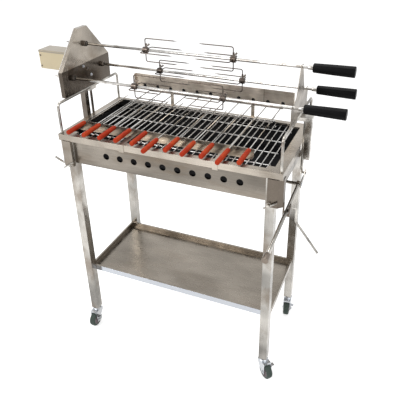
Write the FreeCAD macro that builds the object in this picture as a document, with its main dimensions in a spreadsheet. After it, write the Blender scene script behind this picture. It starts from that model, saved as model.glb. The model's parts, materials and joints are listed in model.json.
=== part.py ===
"""Charcoal rotisserie: a stainless firebox on four legs with three large spits, their gear train
and lift, eleven hand skewers, a warming rack, a storage shelf and four braked casters.

Millimetres, +Z up, +X to the spit handles, -Y to the front. Pieces are drawn about the middle of
the firebox on the floor, and every node is then moved so that the origin lies on the floor under
the middle of the whole machine. A Size knows its number and the sheet expression behind it, so
every length that is built from Sizes follows the sheet.
"""
import FreeCAD, Part
import Sketcher
import math
import os
from types import SimpleNamespace

Vector, Rotation, Placement = FreeCAD.Vector, FreeCAD.Rotation, FreeCAD.Placement
DOC = FreeCAD.newDocument("spit_roaster")
NODES = []

# ---------------------------------------------------------------- driving dimensions
DIMENSIONS = {
    # frame; the leg span and the height of the rim place everything else
    "leg_span_long": 810, "leg_span_deep": 410, "leg_side": 32, "leg_wall": 1.5, "leg_foot": 6,
    "leg_over_wheel": 23, "rim_top": 934,
    # sheet work
    "sheet": 1.5, "rim_over_long": 25, "rim_over_deep": 5, "rim_lip": 24, "rim_hem": 8,
    "mouth_inset_long": 11, "mouth_inset_deep": 8, "mouth_leg_gap": 4.5,
    "tub_inset_long": 2, "tub_inset_deep": 10, "tub_high": 118, "tub_leg_gap": 0.5,
    "air_hole": 25, "air_hole_first": -240, "air_hole_step": 57.8, "air_hole_up": 50,
    "ledge_wide": 12.5,
    # shelf
    "shelf_top": 309, "shelf_inset": 5, "shelf_high": 23, "shelf_hem": 7,
    # coal tray
    "coal_tray_gap_long": 11, "coal_tray_gap_deep": 8, "coal_tray_high": 26,
    # grate
    "grate_below_rim": 9, "grate_bar": 4, "grate_gap_long": 5, "grate_gap_deep": 10,
    "grate_end": 5, "crossbar_inset": 45.5,
    # hand skewers
    "skewer_inset": 14, "skewer_step": 66, "skewer_over_rim": 17, "skewer_bar": 4,
    "skewer_grip_gap": 6.5, "skewer_grip_long": 107, "skewer_grip_thick": 18,
    "skewer_grip_neck": 8, "skewer_ferrule": 5, "skewer_tip_over": 44, "skewer_slot_gap": 0.08,
    "skewer_point": 12, "skewer_point_end": 0.4,
    "rest_in_front": 97, "rest_in_rear": 55, "rest_inset": 15, "rest_end": 16,
    "rest_front_flange": 24, "rest_rear_flange": 16, "rest_arm_wide": 20, "rest_hook": 30,
    "arm_front_left": -162, "arm_front_right": 197, "arm_rear_left": -340, "arm_rear_right": 276,
    # windshield and warming rack
    "shield_left": -328, "shield_right": 357, "shield_over_rim": 54, "shield_high": 69,
    "shield_in": 5, "shield_hole": 15, "shield_hole_inset": 42, "shield_hole_step": 59.8,
    "shield_hole_up": 19, "shield_flange": 12, "shield_tab_wide": 14,
    "shield_tab_left": -161, "shield_tab_right": 192, "shield_foot": 12,
    "rack_inset": 70, "rack_step": 56.5, "rack_deep": 150, "rack_over_shield": 2, "rack_wire": 4,
    # guides and lift
    "guide_out": 27, "guide_front": 8, "guide_chamfer": 15, "guide_wrap": 25,
    "guide_below_rim": 129, "guide_side": 30,
    "rod": 10, "rod_out": 15, "rod_in": 7, "rod_hole_gap": 1, "bar_over_rim": 114,
    "foot_below_rim": 84, "frame_bend": 14,
    "post_out": 36, "post_side": 22, "post_wall": 2, "post_below_rim": 44, "bracket_thick": 8,
    "bracket_deep": 40, "push_out": 18, "pin": 8, "pin_gap": 0.5,
    "shaft": 12, "shaft_y": -30, "shaft_below_tub": 10, "shaft_gap": 0.1, "crank_reach": 60,
    "crank_thick": 4, "crank_wide": 20, "bearing_in": 21, "bearing_wide": 36, "bearing_drop": 26,
    "lever_out": 23, "lever_tube": 13, "lever_hub": 22, "lever_hub_long": 14, "lever_long": 404,
    "lever_cap": 22, "lever_cap_long": 34,
    "catch_in": 15, "catch_thick": 4, "catch_gap": 0.5, "catch_wall": 5.5, "catch_weld": 14,
    "lock_gap": 3.5, "lock_clear": 1, "lock_travel": 9.5, "lock_in": 22, "lock_reach": 18,
    "lock_drop": 52, "lock_flare_out": 82, "lock_flare_down": 108, "lock_bend": 9,
    "clamp_up": 10, "clamp_boss": 14, "clamp_boss_long": 14, "clamp_bar": 6, "clamp_bar_long": 56,
    "clamp_bar_shift": 6.7,
    # gear train
    "spit_over_bar": 174, "gear_module": 5,
    "plate": 2, "case_deep": 16, "case_over_spit": 61, "case_top_half": 28,
    "shoulder_under_spit": 74, "case_half": 152, "case_foot_half": 150, "gear_thick": 6, "hub": 20,
    "hub_front": 11, "hub_back": 9, "tang": 8, "tang_gap": 0.1,
    "motor_long": 176, "motor_deep": 72, "motor_high": 74, "motor_under_drive": 10.5,
    "motor_round": 5, "motor_wall": 2, "motor_core": 46, "motor_core_long": 96,
    "drive_in_motor": 14,
    # notched plate at the handle end: foot, lobes round the lower notches, waist and head
    "support_foot_in": 18, "support_lobe_low": 14, "support_lobe_out": 17, "support_lobe_top": 11,
    "support_lobe_in": 12, "support_lobe_up": 6, "support_waist_in": 44, "support_waist_up": 16,
    "support_neck_in": 62, "support_neck_up": 58, "support_head": 7, "support_throat": 20,
    # spits and forks
    "spit": 10, "spit_notch_gap": 0.3, "spit_shoulder_in": 16, "spit_tang_long": 82,
    "spit_point": 14, "grip_out": 36, "grip_long": 134, "grip_thin": 33, "grip_thick": 38,
    "grip_chamfer": 5, "grip_end_wall": 10,
    "fork_left": -155, "fork_right": 182, "fork_hub": 22, "fork_hub_long": 20, "fork_gap": 0.1,
    "fork_reach": 44, "fork_long": 128, "fork_bar": 4, "fork_tip": 14, "fork_elbow": 8,
    "fork_root": 2, "wing_screw": 5, "wing_seat": 14.3,
    # casters
    "wheel": 65, "wheel_wide": 24, "hub_gap": 0.05, "axle": 8, "trail": 22, "cup": 34, "cup_high": 12,
    "stem": 10, "stem_long": 26, "stem_gap": 0.05, "fork_plate": 2.5, "fork_side_gap": 1.5,
    "cheek_nose": 9, "cheek_lap": 8, "cheek_lip": 4, "weld": 1.5,
    "brake_gap": 0.4, "brake_thick": 2, "brake_arm": 24, "brake_half": 8, "toe_back": 2,
    "toe_front": 13, "toe_wide": 15, "axle_end": 3,
}

SKEWER_COUNT = 11
SKEWER_PULLED_OUT = (0, 0, 0, 0, 0, 38, 4, 12, 4, 24, 0)
AIR_HOLE_COUNT = 10
SHIELD_HOLE_COUNT = 11
RACK_WIRE_COUNT = 11
GRATE_BAR_COUNT = 31
CROSSBAR_COUNT = 4
DRIVE_TEETH, SPIT_TEETH = 20, 19
# a gear tooth in modules: rise over the pitch circle, lap into the root disc, and half its
# thickness at the pitch circle and at the tip
TOOTH_RISE, TOOTH_LAP, TOOTH_MIDDLE, TOOTH_TOP = 0.8, 0.2, 0.66, 0.36
CRANK_RISE = 15.0
LEVER_DROOP = 6.5
SPIT_FALL = 5.0
CLAMP_TILT = 33.0
SQUARE_TO_ROUND = math.sqrt(0.5)
LEFT, RIGHT, FRONT, REAR = -1, 1, -1, 1
CORNERS = {"front_left": (LEFT, FRONT), "front_right": (RIGHT, FRONT),
           "rear_left": (LEFT, REAR), "rear_right": (RIGHT, REAR)}
CASTER_TURN = {"front_left": -90, "front_right": -40, "rear_left": -62, "rear_right": -84}


class Size:
    """A length with its value and the sheet expression that gives it."""

    def __init__(self, value, text):
        self.value = float(value)
        self.text = text

    def __add__(self, other):
        other = as_size(other)
        return Size(self.value + other.value, f"({self.text} + {other.text})")

    def __sub__(self, other):
        other = as_size(other)
        return Size(self.value - other.value, f"({self.text} - {other.text})")

    def __mul__(self, factor):
        factor = as_size(factor)
        return Size(self.value * factor.value, f"({self.text} * {factor.text})")

    def __truediv__(self, factor):
        factor = as_size(factor)
        return Size(self.value / factor.value, f"({self.text} / {factor.text})")

    def __neg__(self):
        return Size(-self.value, f"(0 - {self.text})")

    __radd__ = __add__
    __rmul__ = __mul__

    def __rsub__(self, other):
        return as_size(other) - self


def as_size(value):
    return value if isinstance(value, Size) else Size(value, repr(float(value)))


def make_sheet():
    sheet = DOC.addObject("Spreadsheet::Sheet", "Dims")
    for row, (alias, value) in enumerate(DIMENSIONS.items(), start=1):
        sheet.set(f"A{row}", alias)
        sheet.set(f"B{row}", str(value))
        sheet.setAlias(f"B{row}", alias)
    DOC.recompute()
    return SimpleNamespace(**{alias: Size(value, f"Dims.{alias}")
                              for alias, value in DIMENSIONS.items()})


D = make_sheet()


# ---------------------------------------------------------------- building blocks
def bind(piece, **sizes):
    """Ties properties of a document object to sheet expressions."""
    for name, size in sizes.items():
        piece.setExpression(name.replace("__", "."), as_size(size).text)


def put(piece, x=0, y=0, z=0, rotation=None):
    piece.Placement = Placement(Vector(), rotation or Rotation())
    bind(piece, Placement__Base__x=x, Placement__Base__y=y, Placement__Base__z=z)
    return piece


def box(name, x, y, z, long, deep, high):
    piece = DOC.addObject("Part::Box", name)
    bind(piece, Length=long, Width=deep, Height=high)
    return put(piece, x, y, z)


ALONG_X = Rotation(Vector(0, 1, 0), 90)
ALONG_Y = Rotation(Vector(1, 0, 0), -90)
UPRIGHT = Rotation()


def rod(name, along, x, y, z, radius, long):
    piece = DOC.addObject("Part::Cylinder", name)
    bind(piece, Radius=radius, Height=long)
    return put(piece, x, y, z, along)


def cone(name, along, x, y, z, radius, tip_radius, long):
    piece = DOC.addObject("Part::Cone", name)
    bind(piece, Radius1=radius, Radius2=tip_radius, Height=long)
    return put(piece, x, y, z, along)


def fuse(name, *pieces):
    joined = DOC.addObject("Part::MultiFuse", name)
    joined.Shapes = list(pieces)
    joined.Refine = True
    return joined


def cut(name, base, tool):
    piece = DOC.addObject("Part::Cut", name)
    piece.Base = base
    piece.Tool = tool
    return piece


def node(label, *pieces):
    """One named node: its solids together, moved to the origin of the whole machine."""
    whole = DOC.addObject("Part::Compound", "node_" + label)
    whole.Label = label
    whole.Links = list(pieces)
    bind(whole, Placement__Base__x=-MIDDLE_X, Placement__Base__y=-MIDDLE_Y)
    NODES.append(whole)


def solid_body(name, x=0, y=0, z=0, rotation=None):
    return put(DOC.addObject("PartDesign::Body", name + "_body"), x, y, z, rotation)


def draw(body, plane, loops=(), circles=(), offset=0):
    """A sketch on one of the body's origin planes: closed loops of (x, y) and (x, y, r) circles."""
    sketch = body.newObject("Sketcher::SketchObject", body.Name + "_sketch")
    support = next(f for f in body.Origin.OriginFeatures if f.Role == plane + "_Plane")
    sketch.AttachmentSupport = [(support, "")]
    sketch.MapMode = "FlatFace"
    bind(sketch, AttachmentOffset__Base__z=offset)
    rules = []
    for loop in loops:
        corners = [(as_size(x), as_size(y)) for x, y in loop]
        first = sketch.GeometryCount
        count = len(corners)
        for index, (x, y) in enumerate(corners):
            end_x, end_y = corners[(index + 1) % count]
            start, end = Vector(x.value, y.value), Vector(end_x.value, end_y.value)
            sketch.addGeometry(Part.LineSegment(start, end))
        for index, corner in enumerate(corners):
            line = first + index
            sketch.addConstraint(Sketcher.Constraint("Coincident", line, 2,
                                                     first + (index + 1) % count, 1))
            rules += [("DistanceX", line, 1, corner[0]), ("DistanceY", line, 1, corner[1])]
    for x, y, radius in circles:
        x, y, radius = as_size(x), as_size(y), as_size(radius)
        ring = sketch.addGeometry(Part.Circle(Vector(x.value, y.value), Vector(0, 0, 1),
                                              radius.value))
        rules += [("DistanceX", ring, 3, x), ("DistanceY", ring, 3, y), ("Radius", ring, None, radius)]
    for kind, item, point, size in rules:
        if point is None:
            rule = Sketcher.Constraint(kind, item, size.value)
        else:
            rule = Sketcher.Constraint(kind, -1, 1, item, point, size.value)
        index = sketch.addConstraint(rule)
        sketch.setExpression(f"Constraints[{index}]", size.text)
    return sketch


def pad(body, plane, length, loops=(), circles=(), offset=0, middle=False, back=False):
    feature = body.newObject("PartDesign::Pad", body.Name + "_pad")
    feature.Profile = draw(body, plane, loops, circles, offset)
    bind(feature, Length=length)
    feature.Midplane = middle
    feature.Reversed = back
    return feature


def pocket(body, plane, length, loops=(), circles=(), offset=0, middle=False, back=False):
    feature = body.newObject("PartDesign::Pocket", body.Name + "_pocket")
    feature.Profile = draw(body, plane, loops, circles, offset)
    bind(feature, Length=length)
    feature.Midplane = middle
    feature.Reversed = back
    return feature


def repeat_in_line(body, feature, step, count, axis="H_Axis"):
    pattern = body.newObject("PartDesign::LinearPattern", body.Name + "_row")
    pattern.Originals = [feature]
    pattern.Direction = (feature.Profile[0], [axis])
    pattern.Occurrences = count
    bind(pattern, Length=step * (count - 1))
    body.Tip = pattern
    return pattern


def repeat_round(body, feature, count):
    pattern = body.newObject("PartDesign::PolarPattern", body.Name + "_ring")
    pattern.Originals = [feature]
    pattern.Axis = (feature.Profile[0], ["N_Axis"])
    pattern.Angle = 360
    pattern.Occurrences = count
    body.Tip = pattern
    return pattern


def turned(body, profile):
    """A solid turned about the body's own X axis from a closed (x, radius) profile."""
    feature = body.newObject("PartDesign::Revolution", body.Name + "_turned")
    sketch = draw(body, "XZ", [profile])
    feature.Profile = sketch
    feature.ReferenceAxis = (sketch, ["H_Axis"])
    feature.Angle = 360
    return feature


def rectangle(x0, y0, x1, y1):
    return [(x0, y0), (x1, y0), (x1, y1), (x0, y1)]


def centred(long, deep):
    return rectangle(-long / 2, -deep / 2, long / 2, deep / 2)


def bent_rod(name, points, diameter, bend):
    """A round rod along straight runs joined by tangent arcs, through points given as Sizes."""
    corners = [Vector(*(as_size(c).value for c in point)) for point in points]
    edges, start = [], corners[0]
    for before, corner, after in zip(corners, corners[1:], corners[2:]):
        arrive = (corner - before).normalize()
        leave = (after - corner).normalize()
        turn = arrive.getAngle(leave)
        radius = as_size(bend).value
        setback = radius * math.tan(turn / 2)
        arc_start, arc_end = corner - arrive * setback, corner + leave * setback
        middle = corner + (leave - arrive).normalize() * (radius / math.cos(turn / 2) - radius)
        edges += [Part.LineSegment(start, arc_start).toShape(),
                  Part.Arc(arc_start, middle, arc_end).toShape()]
        start = arc_end
    edges.append(Part.LineSegment(start, corners[-1]).toShape())
    spine = Part.Wire(edges)
    profile = Part.Face(Part.Wire(Part.makeCircle(as_size(diameter).value / 2, corners[0],
                                                  corners[1] - corners[0])))
    piece = DOC.addObject("Part::Feature", name)
    piece.Shape = spine.makePipe(profile)
    return piece


# ---------------------------------------------------------------- places shared by several pieces
LEG_X = D.leg_span_long / 2
LEG_Y = D.leg_span_deep / 2
LEG_BOTTOM = D.wheel + D.leg_over_wheel
RIM_LONG = D.leg_span_long + 2 * D.rim_over_long
RIM_DEEP = D.leg_span_deep + 2 * D.rim_over_deep
RIM_UNDER = D.rim_top - D.sheet
LIP_FOOT = D.rim_top - D.rim_lip
TUB_LONG = D.leg_span_long - 2 * D.tub_inset_long
TUB_DEEP = D.leg_span_deep - 2 * D.tub_inset_deep
TUB_BOTTOM = D.rim_top - D.tub_high
TUB_HIGH = RIM_UNDER - TUB_BOTTOM
MOUTH_LONG = TUB_LONG - 2 * D.mouth_inset_long
MOUTH_DEEP = TUB_DEEP - 2 * D.mouth_inset_deep
GRATE_TOP = D.rim_top - D.grate_below_rim
GUIDE_BOTTOM = D.rim_top - D.guide_below_rim
REST_FRONT = D.rest_in_front - LEG_Y
REST_REAR = LEG_Y - D.rest_in_rear
REST_LEFT = D.rest_inset - LEG_X
SKEWER_Z = D.rim_top + D.skewer_over_rim
SKEWER_FIRST = REST_LEFT + D.skewer_inset
REST_RIGHT = SKEWER_FIRST + D.skewer_step * (SKEWER_COUNT - 1) + D.rest_end
SHIELD_BACK = LEG_Y - D.shield_in
SHIELD_BOTTOM = D.rim_top + D.shield_over_rim
SHIELD_TOP = SHIELD_BOTTOM + D.shield_high
RACK_Z = SHIELD_BOTTOM + D.rack_over_shield
ROD_X = LEG_X + D.rod_out
ROD_Y = LEG_Y - D.rod_in
FRAME_BAR = D.rim_top + D.bar_over_rim
FRAME_FOOT = D.rim_top - D.foot_below_rim
POST_X = ROD_X + D.post_out
POST_FOOT = D.rim_top - D.post_below_rim
PUSH_X = ROD_X + D.push_out
LEVER_X = ROD_X + D.lever_out
SHAFT_Z = TUB_BOTTOM - D.shaft_below_tub
CATCH_Y = D.catch_in - LEG_Y
LOCK_Y = D.lock_in - LEG_Y
LEFT_LOCK_Z = GUIDE_BOTTOM - D.pin / 2 - D.lock_clear
GEAR_RADIUS = D.gear_module * (DRIVE_TEETH / 2)
SPIT_GEAR_RADIUS = D.gear_module * (SPIT_TEETH / 2)
CASE_FRONT = -ROD_X + D.plate / 2
CASE_BACK = CASE_FRONT - D.case_deep
BAR_TOP = FRAME_BAR + D.rod / 2
PIN_Z = SHAFT_Z + D.crank_reach * math.tan(math.radians(CRANK_RISE))
PIN_Y = D.shaft_y + D.crank_reach
SPIT_TOP_Z = FRAME_BAR + D.spit_over_bar
MESH_REACH = GEAR_RADIUS + SPIT_GEAR_RADIUS
DRIVE_Z = SPIT_TOP_Z - MESH_REACH
SPIT_LOW_Y = MESH_REACH * math.cos(math.radians(SPIT_FALL))
SPIT_LOW_Z = DRIVE_Z - MESH_REACH * math.sin(math.radians(SPIT_FALL))
SPITS = {"top": (as_size(0), SPIT_TOP_Z), "rear": (SPIT_LOW_Y, SPIT_LOW_Z),
         "front": (-SPIT_LOW_Y, SPIT_LOW_Z)}
SPIT_SHOULDER = D.spit_shoulder_in - ROD_X
GRIP_START = ROD_X + D.grip_out
LEVER_SLOPE = math.radians(LEVER_DROOP)
LEVER_SLANT = 1 / math.cos(LEVER_SLOPE)
# the middle of the machine: motor to spit handles along X, lever cap to rear guides along Y
MIDDLE_X = (GRIP_START + D.grip_long + CASE_BACK - D.sheet - D.motor_long) / 2
MIDDLE_Y = (LEG_Y + D.guide_front + D.shaft_y - D.lever_long * math.cos(LEVER_SLOPE)
            - D.lever_cap / 2 * math.sin(LEVER_SLOPE)) / 2


def leg_inner(span, side, gap=0):
    return side * (span - D.leg_side - gap)


# ---------------------------------------------------------------- frame and firebox
def legs():
    tubes = []
    for corner, (sx, sy) in CORNERS.items():
        centre_x, centre_y = sx * (LEG_X - D.leg_side / 2), sy * (LEG_Y - D.leg_side / 2)
        high = RIM_UNDER - LEG_BOTTOM
        outside = box("leg_out_" + corner, centre_x - D.leg_side / 2, centre_y - D.leg_side / 2,
                      LEG_BOTTOM, D.leg_side, D.leg_side, high)
        bore = D.leg_side - 2 * D.leg_wall
        inside = box("leg_in_" + corner, centre_x - bore / 2, centre_y - bore / 2,
                     LEG_BOTTOM + D.leg_foot, bore, bore, high)
        socket = rod("leg_socket_" + corner, UPRIGHT, centre_x, centre_y, LEG_BOTTOM - 1,
                     D.stem / 2 + D.stem_gap, D.leg_foot + 2)
        tubes.append(cut("leg_" + corner, outside, fuse("leg_hollow_" + corner, inside, socket)))
    node("legs", *tubes)


def notched(long, deep, notch_x, notch_y):
    """A rectangle with a square step cut out of each corner for the legs."""
    x, y = long / 2, deep / 2
    return [(-notch_x, -y), (notch_x, -y), (notch_x, -notch_y), (x, -notch_y), (x, notch_y),
            (notch_x, notch_y), (notch_x, y), (-notch_x, y), (-notch_x, notch_y), (-x, notch_y),
            (-x, -notch_y), (-notch_x, -notch_y)]


def firebox():
    body = solid_body("firebox", z=TUB_BOTTOM)
    step_x = leg_inner(LEG_X, 1, D.tub_leg_gap)
    step_y = leg_inner(LEG_Y, 1, D.tub_leg_gap)
    inside = 2 * D.sheet
    pad(body, "XY", TUB_HIGH, [notched(TUB_LONG, TUB_DEEP, step_x, step_y)])
    pocket(body, "XY", TUB_HIGH - D.sheet,
           [notched(TUB_LONG - inside, TUB_DEEP - inside, step_x - D.sheet, step_y - D.sheet)],
           offset=TUB_HIGH)
    wall = TUB_DEEP / 2 - D.sheet / 2
    shelf = GRATE_TOP - D.grate_bar - TUB_BOTTOM
    ledges = [rectangle(side * wall, shelf - D.sheet, side * (wall - D.ledge_wide), shelf)
              for side in (FRONT, REAR)]
    pad(body, "YZ", 2 * step_x - inside, ledges, middle=True)
    for side in (LEFT, RIGHT):
        bearing = rectangle(D.shaft_y - D.bearing_wide / 2, -D.bearing_drop,
                            D.shaft_y + D.bearing_wide / 2, D.sheet / 2)
        hole = (D.shaft_y, SHAFT_Z - TUB_BOTTOM, D.shaft / 2 + D.shaft_gap)
        pad(body, "YZ", D.catch_thick, [bearing], [hole], offset=side * (LEG_X - D.bearing_in), middle=True)
    air_hole = (D.air_hole_first, D.air_hole_up, D.air_hole / 2)
    holes = pocket(body, "XZ", D.sheet * 2, circles=[air_hole], offset=TUB_DEEP / 2)
    repeat_in_line(body, holes, D.air_hole_step, AIR_HOLE_COUNT)
    node("firebox", body)


def firebox_rim():
    """The folded top frame; its mouth steps round the tops of the legs, with a hem all round."""
    body = solid_body("firebox_rim", z=LIP_FOOT)
    step_x, step_y = (leg_inner(span, 1, D.mouth_leg_gap) for span in (LEG_X, LEG_Y))
    inside = 2 * D.sheet
    outer, mouth = centred(RIM_LONG, RIM_DEEP), notched(MOUTH_LONG, MOUTH_DEEP, step_x, step_y)
    hem = notched(MOUTH_LONG + inside, MOUTH_DEEP + inside, step_x + D.sheet, step_y + D.sheet)
    pad(body, "XY", D.rim_lip, [outer, centred(RIM_LONG - inside, RIM_DEEP - inside)])
    rod_holes = [(sx * ROD_X, sy * ROD_Y, D.rod / 2 + D.rod_hole_gap)
                 for sx, sy in CORNERS.values()]
    pad(body, "XY", D.sheet, [outer, mouth], rod_holes, offset=D.rim_lip - D.sheet)
    pad(body, "XY", D.rim_hem, [hem, mouth], offset=D.rim_lip - D.rim_hem)
    node("firebox_rim", body)


def storage_shelf():
    long, deep = D.leg_span_long - 2 * D.shelf_inset, 2 * leg_inner(LEG_Y, 1)
    body = solid_body("storage_shelf", z=D.shelf_top - D.shelf_high)
    inside = 2 * D.sheet
    pad(body, "XY", D.shelf_high, [centred(long, deep)])
    pocket(body, "XY", D.shelf_high - D.sheet, [centred(long - inside, deep - inside)],
           offset=D.shelf_high)
    hem = 2 * D.shelf_hem
    pad(body, "XY", D.sheet, [centred(long, deep), centred(long - hem, deep - hem)],
        offset=D.shelf_high - D.sheet)
    node("storage_shelf", body)


def charcoal_tray():
    body = solid_body("charcoal_tray", z=TUB_BOTTOM + D.sheet)
    inside = 2 * D.sheet
    long = 2 * leg_inner(LEG_X, 1, D.coal_tray_gap_long)
    deep = 2 * leg_inner(LEG_Y, 1, D.coal_tray_gap_deep)
    pad(body, "XY", D.coal_tray_high, [centred(long, deep)])
    pocket(body, "XY", D.coal_tray_high - D.sheet, [centred(long - inside, deep - inside)],
           offset=D.coal_tray_high)
    node("charcoal_tray", body)


def grill_grate():
    bars = []
    half = D.grate_bar / 2
    long = 2 * leg_inner(LEG_X, 1, D.grate_gap_long)
    deep = TUB_DEEP - 2 * D.grate_gap_deep
    step = (long - 2 * D.grate_end) / (GRATE_BAR_COUNT - 1)
    for index in range(GRATE_BAR_COUNT):
        bars.append(box(f"grate_bar_{index}", D.grate_end - long / 2 + step * index - half,
                        -deep / 2, GRATE_TOP - D.grate_bar, D.grate_bar, deep, D.grate_bar))
    step = (deep - 2 * D.crossbar_inset) / (CROSSBAR_COUNT - 1)
    for index in range(CROSSBAR_COUNT):
        bars.append(box(f"grate_crossbar_{index}", -long / 2,
                        D.crossbar_inset - deep / 2 + step * index - half,
                        GRATE_TOP - D.grate_bar * 2, long, D.grate_bar, D.grate_bar))
    node("grill_grate", *bars)


def corner_guides():
    """Folded covers on the outer faces of the legs, in which the lift rods slide."""
    covers = []
    high = LIP_FOOT - GUIDE_BOTTOM
    slant = D.sheet * math.tan(math.radians(22.5))
    for corner, (sx, sy) in CORNERS.items():
        out, front, inner = LEG_X + D.guide_out, LEG_Y + D.guide_front, LEG_X - D.guide_wrap
        back = LEG_Y - D.guide_side
        outline = [(inner, LEG_Y), (inner, front), (out - D.guide_chamfer, front),
                   (out, front - D.guide_chamfer), (out, back), (LEG_X, back),
                   (LEG_X, back + D.sheet), (out - D.sheet, back + D.sheet),
                   (out - D.sheet, front - D.guide_chamfer - slant),
                   (out - D.guide_chamfer - slant, front - D.sheet),
                   (inner + D.sheet, front - D.sheet), (inner + D.sheet, LEG_Y)]
        body = solid_body("guide_" + corner, z=GUIDE_BOTTOM)
        pad(body, "XY", high, [[(sx * x, sy * y) for x, y in outline]])
        if corner == "front_right":
            lever_catch(body)
        if corner == "front_left":
            lock_ear(body, -LEG_X - D.guide_out)
        covers.append(body)
    node("corner_guides", *covers)


def lock_ear(body, x):
    """A small plate with the running hole of a locking pin, starting at x."""
    half = D.pin
    height = LEFT_LOCK_Z - GUIDE_BOTTOM
    ear = rectangle(LOCK_Y - half, height - half, LOCK_Y + half, D.catch_weld)
    hole = (LOCK_Y, height, D.pin / 2 + D.shaft_gap)
    pad(body, "YZ", D.catch_thick, [ear], [hole], offset=x)


def lever_axis(y):
    """The height of the lever tube's axis where it crosses y, at rest."""
    return SHAFT_Z - (D.shaft_y - y) * math.tan(LEVER_SLOPE)


def lock_z():
    """The height of the right locking pin's axis, over the lever."""
    return lever_axis(LOCK_Y) + (D.lever_tube / 2 + D.pin / 2 + D.lock_gap) * LEVER_SLANT


def lever_catch(body):
    """A notched rest for the lever with an ear that carries the locking pin."""
    left, right = LEG_X + D.guide_out - D.sheet, LEVER_X + D.lever_tube / 2 + D.catch_wall
    slot = D.lever_tube / 2 + D.catch_gap
    floor = lever_axis(CATCH_Y - D.catch_thick) - slot * LEVER_SLANT - GUIDE_BOTTOM
    top = lock_z() + D.pin - GUIDE_BOTTOM
    plate = [(left, floor - D.catch_wall * 2), (right, floor - D.catch_wall * 2), (right, top),
             (LEVER_X + slot, top), (LEVER_X + slot, floor), (LEVER_X - slot, floor),
             (LEVER_X - slot, D.catch_weld), (left, D.catch_weld)]
    pad(body, "XZ", D.catch_thick, [plate], offset=-CATCH_Y)
    ear = rectangle(CATCH_Y, floor - D.catch_wall * 2, LOCK_Y + D.pin, top)
    hole = (LOCK_Y, lock_z() - GUIDE_BOTTOM, D.pin / 2 + D.shaft_gap)
    pad(body, "YZ", D.catch_thick, [ear], [hole], offset=right - D.catch_thick)


def lock_pins():
    """Locking pins with bent handles; the right one bars the lever in its catch."""
    height = lock_z()
    tip = LEVER_X + D.lever_tube / 2 + D.lock_clear
    drop_x = tip + D.lock_travel + D.catch_wall + D.lock_bend
    low = height - D.lock_drop
    right = [(tip, LOCK_Y, height), (drop_x, LOCK_Y, height), (drop_x, LOCK_Y, low),
             (drop_x + D.lock_flare_out, LOCK_Y, low - D.lock_flare_down)]
    node("lock_pin_right", bent_rod("pin_right", right, D.pin, D.lock_bend))
    outside = -LEG_X - D.guide_out
    height = LEFT_LOCK_Z
    left = [(-LEG_X - D.lock_reach, LOCK_Y, height), (outside - D.pin * 2, LOCK_Y, height),
            (outside - D.lock_drop, LOCK_Y, height + D.pin * 2)]
    node("lock_pin_left", bent_rod("pin_left", left, D.pin, D.lock_bend))


def clamp_screws():
    """Two tommy-bar screws that clamp the lift rods through the front guides."""
    screws = []
    tilt = Rotation(Vector(0, 1, 0), 90 - CLAMP_TILT)
    slope = math.radians(CLAMP_TILT)
    half = D.clamp_bar_long / 2
    for name, side in (("left", LEFT), ("right", RIGHT)):
        x, z = side * (LEG_X - D.leg_side / 2), GUIDE_BOTTOM + D.clamp_up
        front = -LEG_Y - D.guide_front
        boss = rod("clamp_boss_" + name, ALONG_Y, x, front - D.clamp_boss_long, z, D.clamp_boss / 2,
                   D.clamp_boss_long)
        start = x - half * math.cos(slope) + side * D.clamp_bar_shift
        bar = rod("clamp_bar_" + name, tilt, start, front - D.clamp_boss_long / 2,
                  z - half * math.sin(slope), D.clamp_bar / 2, D.clamp_bar_long)
        screws.append(fuse("clamp_screw_" + name, boss, bar))
    node("clamp_screws", *screws)


# ---------------------------------------------------------------- rests, windshield and rack
def skewer_x(index):
    return SKEWER_FIRST + D.skewer_step * index


def skewer_rests():
    """Two notched strips standing on the grate, each held to the rim by two flat arms."""
    strips = []
    low = GRATE_TOP
    top = SKEWER_Z + D.skewer_bar / 2
    slot = D.skewer_bar * SQUARE_TO_ROUND + D.skewer_slot_gap
    arm_z = D.rim_top - low
    axis = SKEWER_Z - low
    places = {FRONT: (REST_FRONT, D.rest_front_flange, (D.arm_front_left, D.arm_front_right)),
              REAR: (REST_REAR, D.rest_rear_flange, (D.arm_rear_left, D.arm_rear_right))}
    for side, (y, flange, arms) in places.items():
        body = solid_body("rest_front" if side == FRONT else "rest_rear", y=y, z=low)
        pad(body, "XZ", D.sheet, [rectangle(REST_LEFT, 0, REST_RIGHT, top - low)], middle=True)
        near = side * D.sheet / 2
        pad(body, "XY", D.sheet, [rectangle(REST_LEFT, near, REST_RIGHT, side * flange)])
        edge = side * RIM_DEEP / 2 - y
        reach = edge + side * D.sheet if side == FRONT else edge - side * D.shield_foot
        for x in arms:
            x0, x1 = x - D.rest_arm_wide / 2, x + D.rest_arm_wide / 2
            pad(body, "XY", D.sheet, [rectangle(x0, near, x1, reach)], offset=arm_z)
            if side == FRONT:
                pad(body, "XY", D.rest_hook, [rectangle(x0, edge, x1, reach)],
                    offset=arm_z + D.sheet, back=True)
        seat = pocket(body, "XZ", D.sheet * 2, circles=[(skewer_x(0), axis, slot)], middle=True)
        repeat_in_line(body, seat, D.skewer_step, SKEWER_COUNT)
        throat = rectangle(skewer_x(0) - slot, axis, skewer_x(0) + slot, axis + D.skewer_bar)
        notches = pocket(body, "XZ", D.sheet * 2, [throat], middle=True)
        repeat_in_line(body, notches, D.skewer_step, SKEWER_COUNT)
        strips.append(body)
    node("skewer_rests", *strips)


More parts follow.
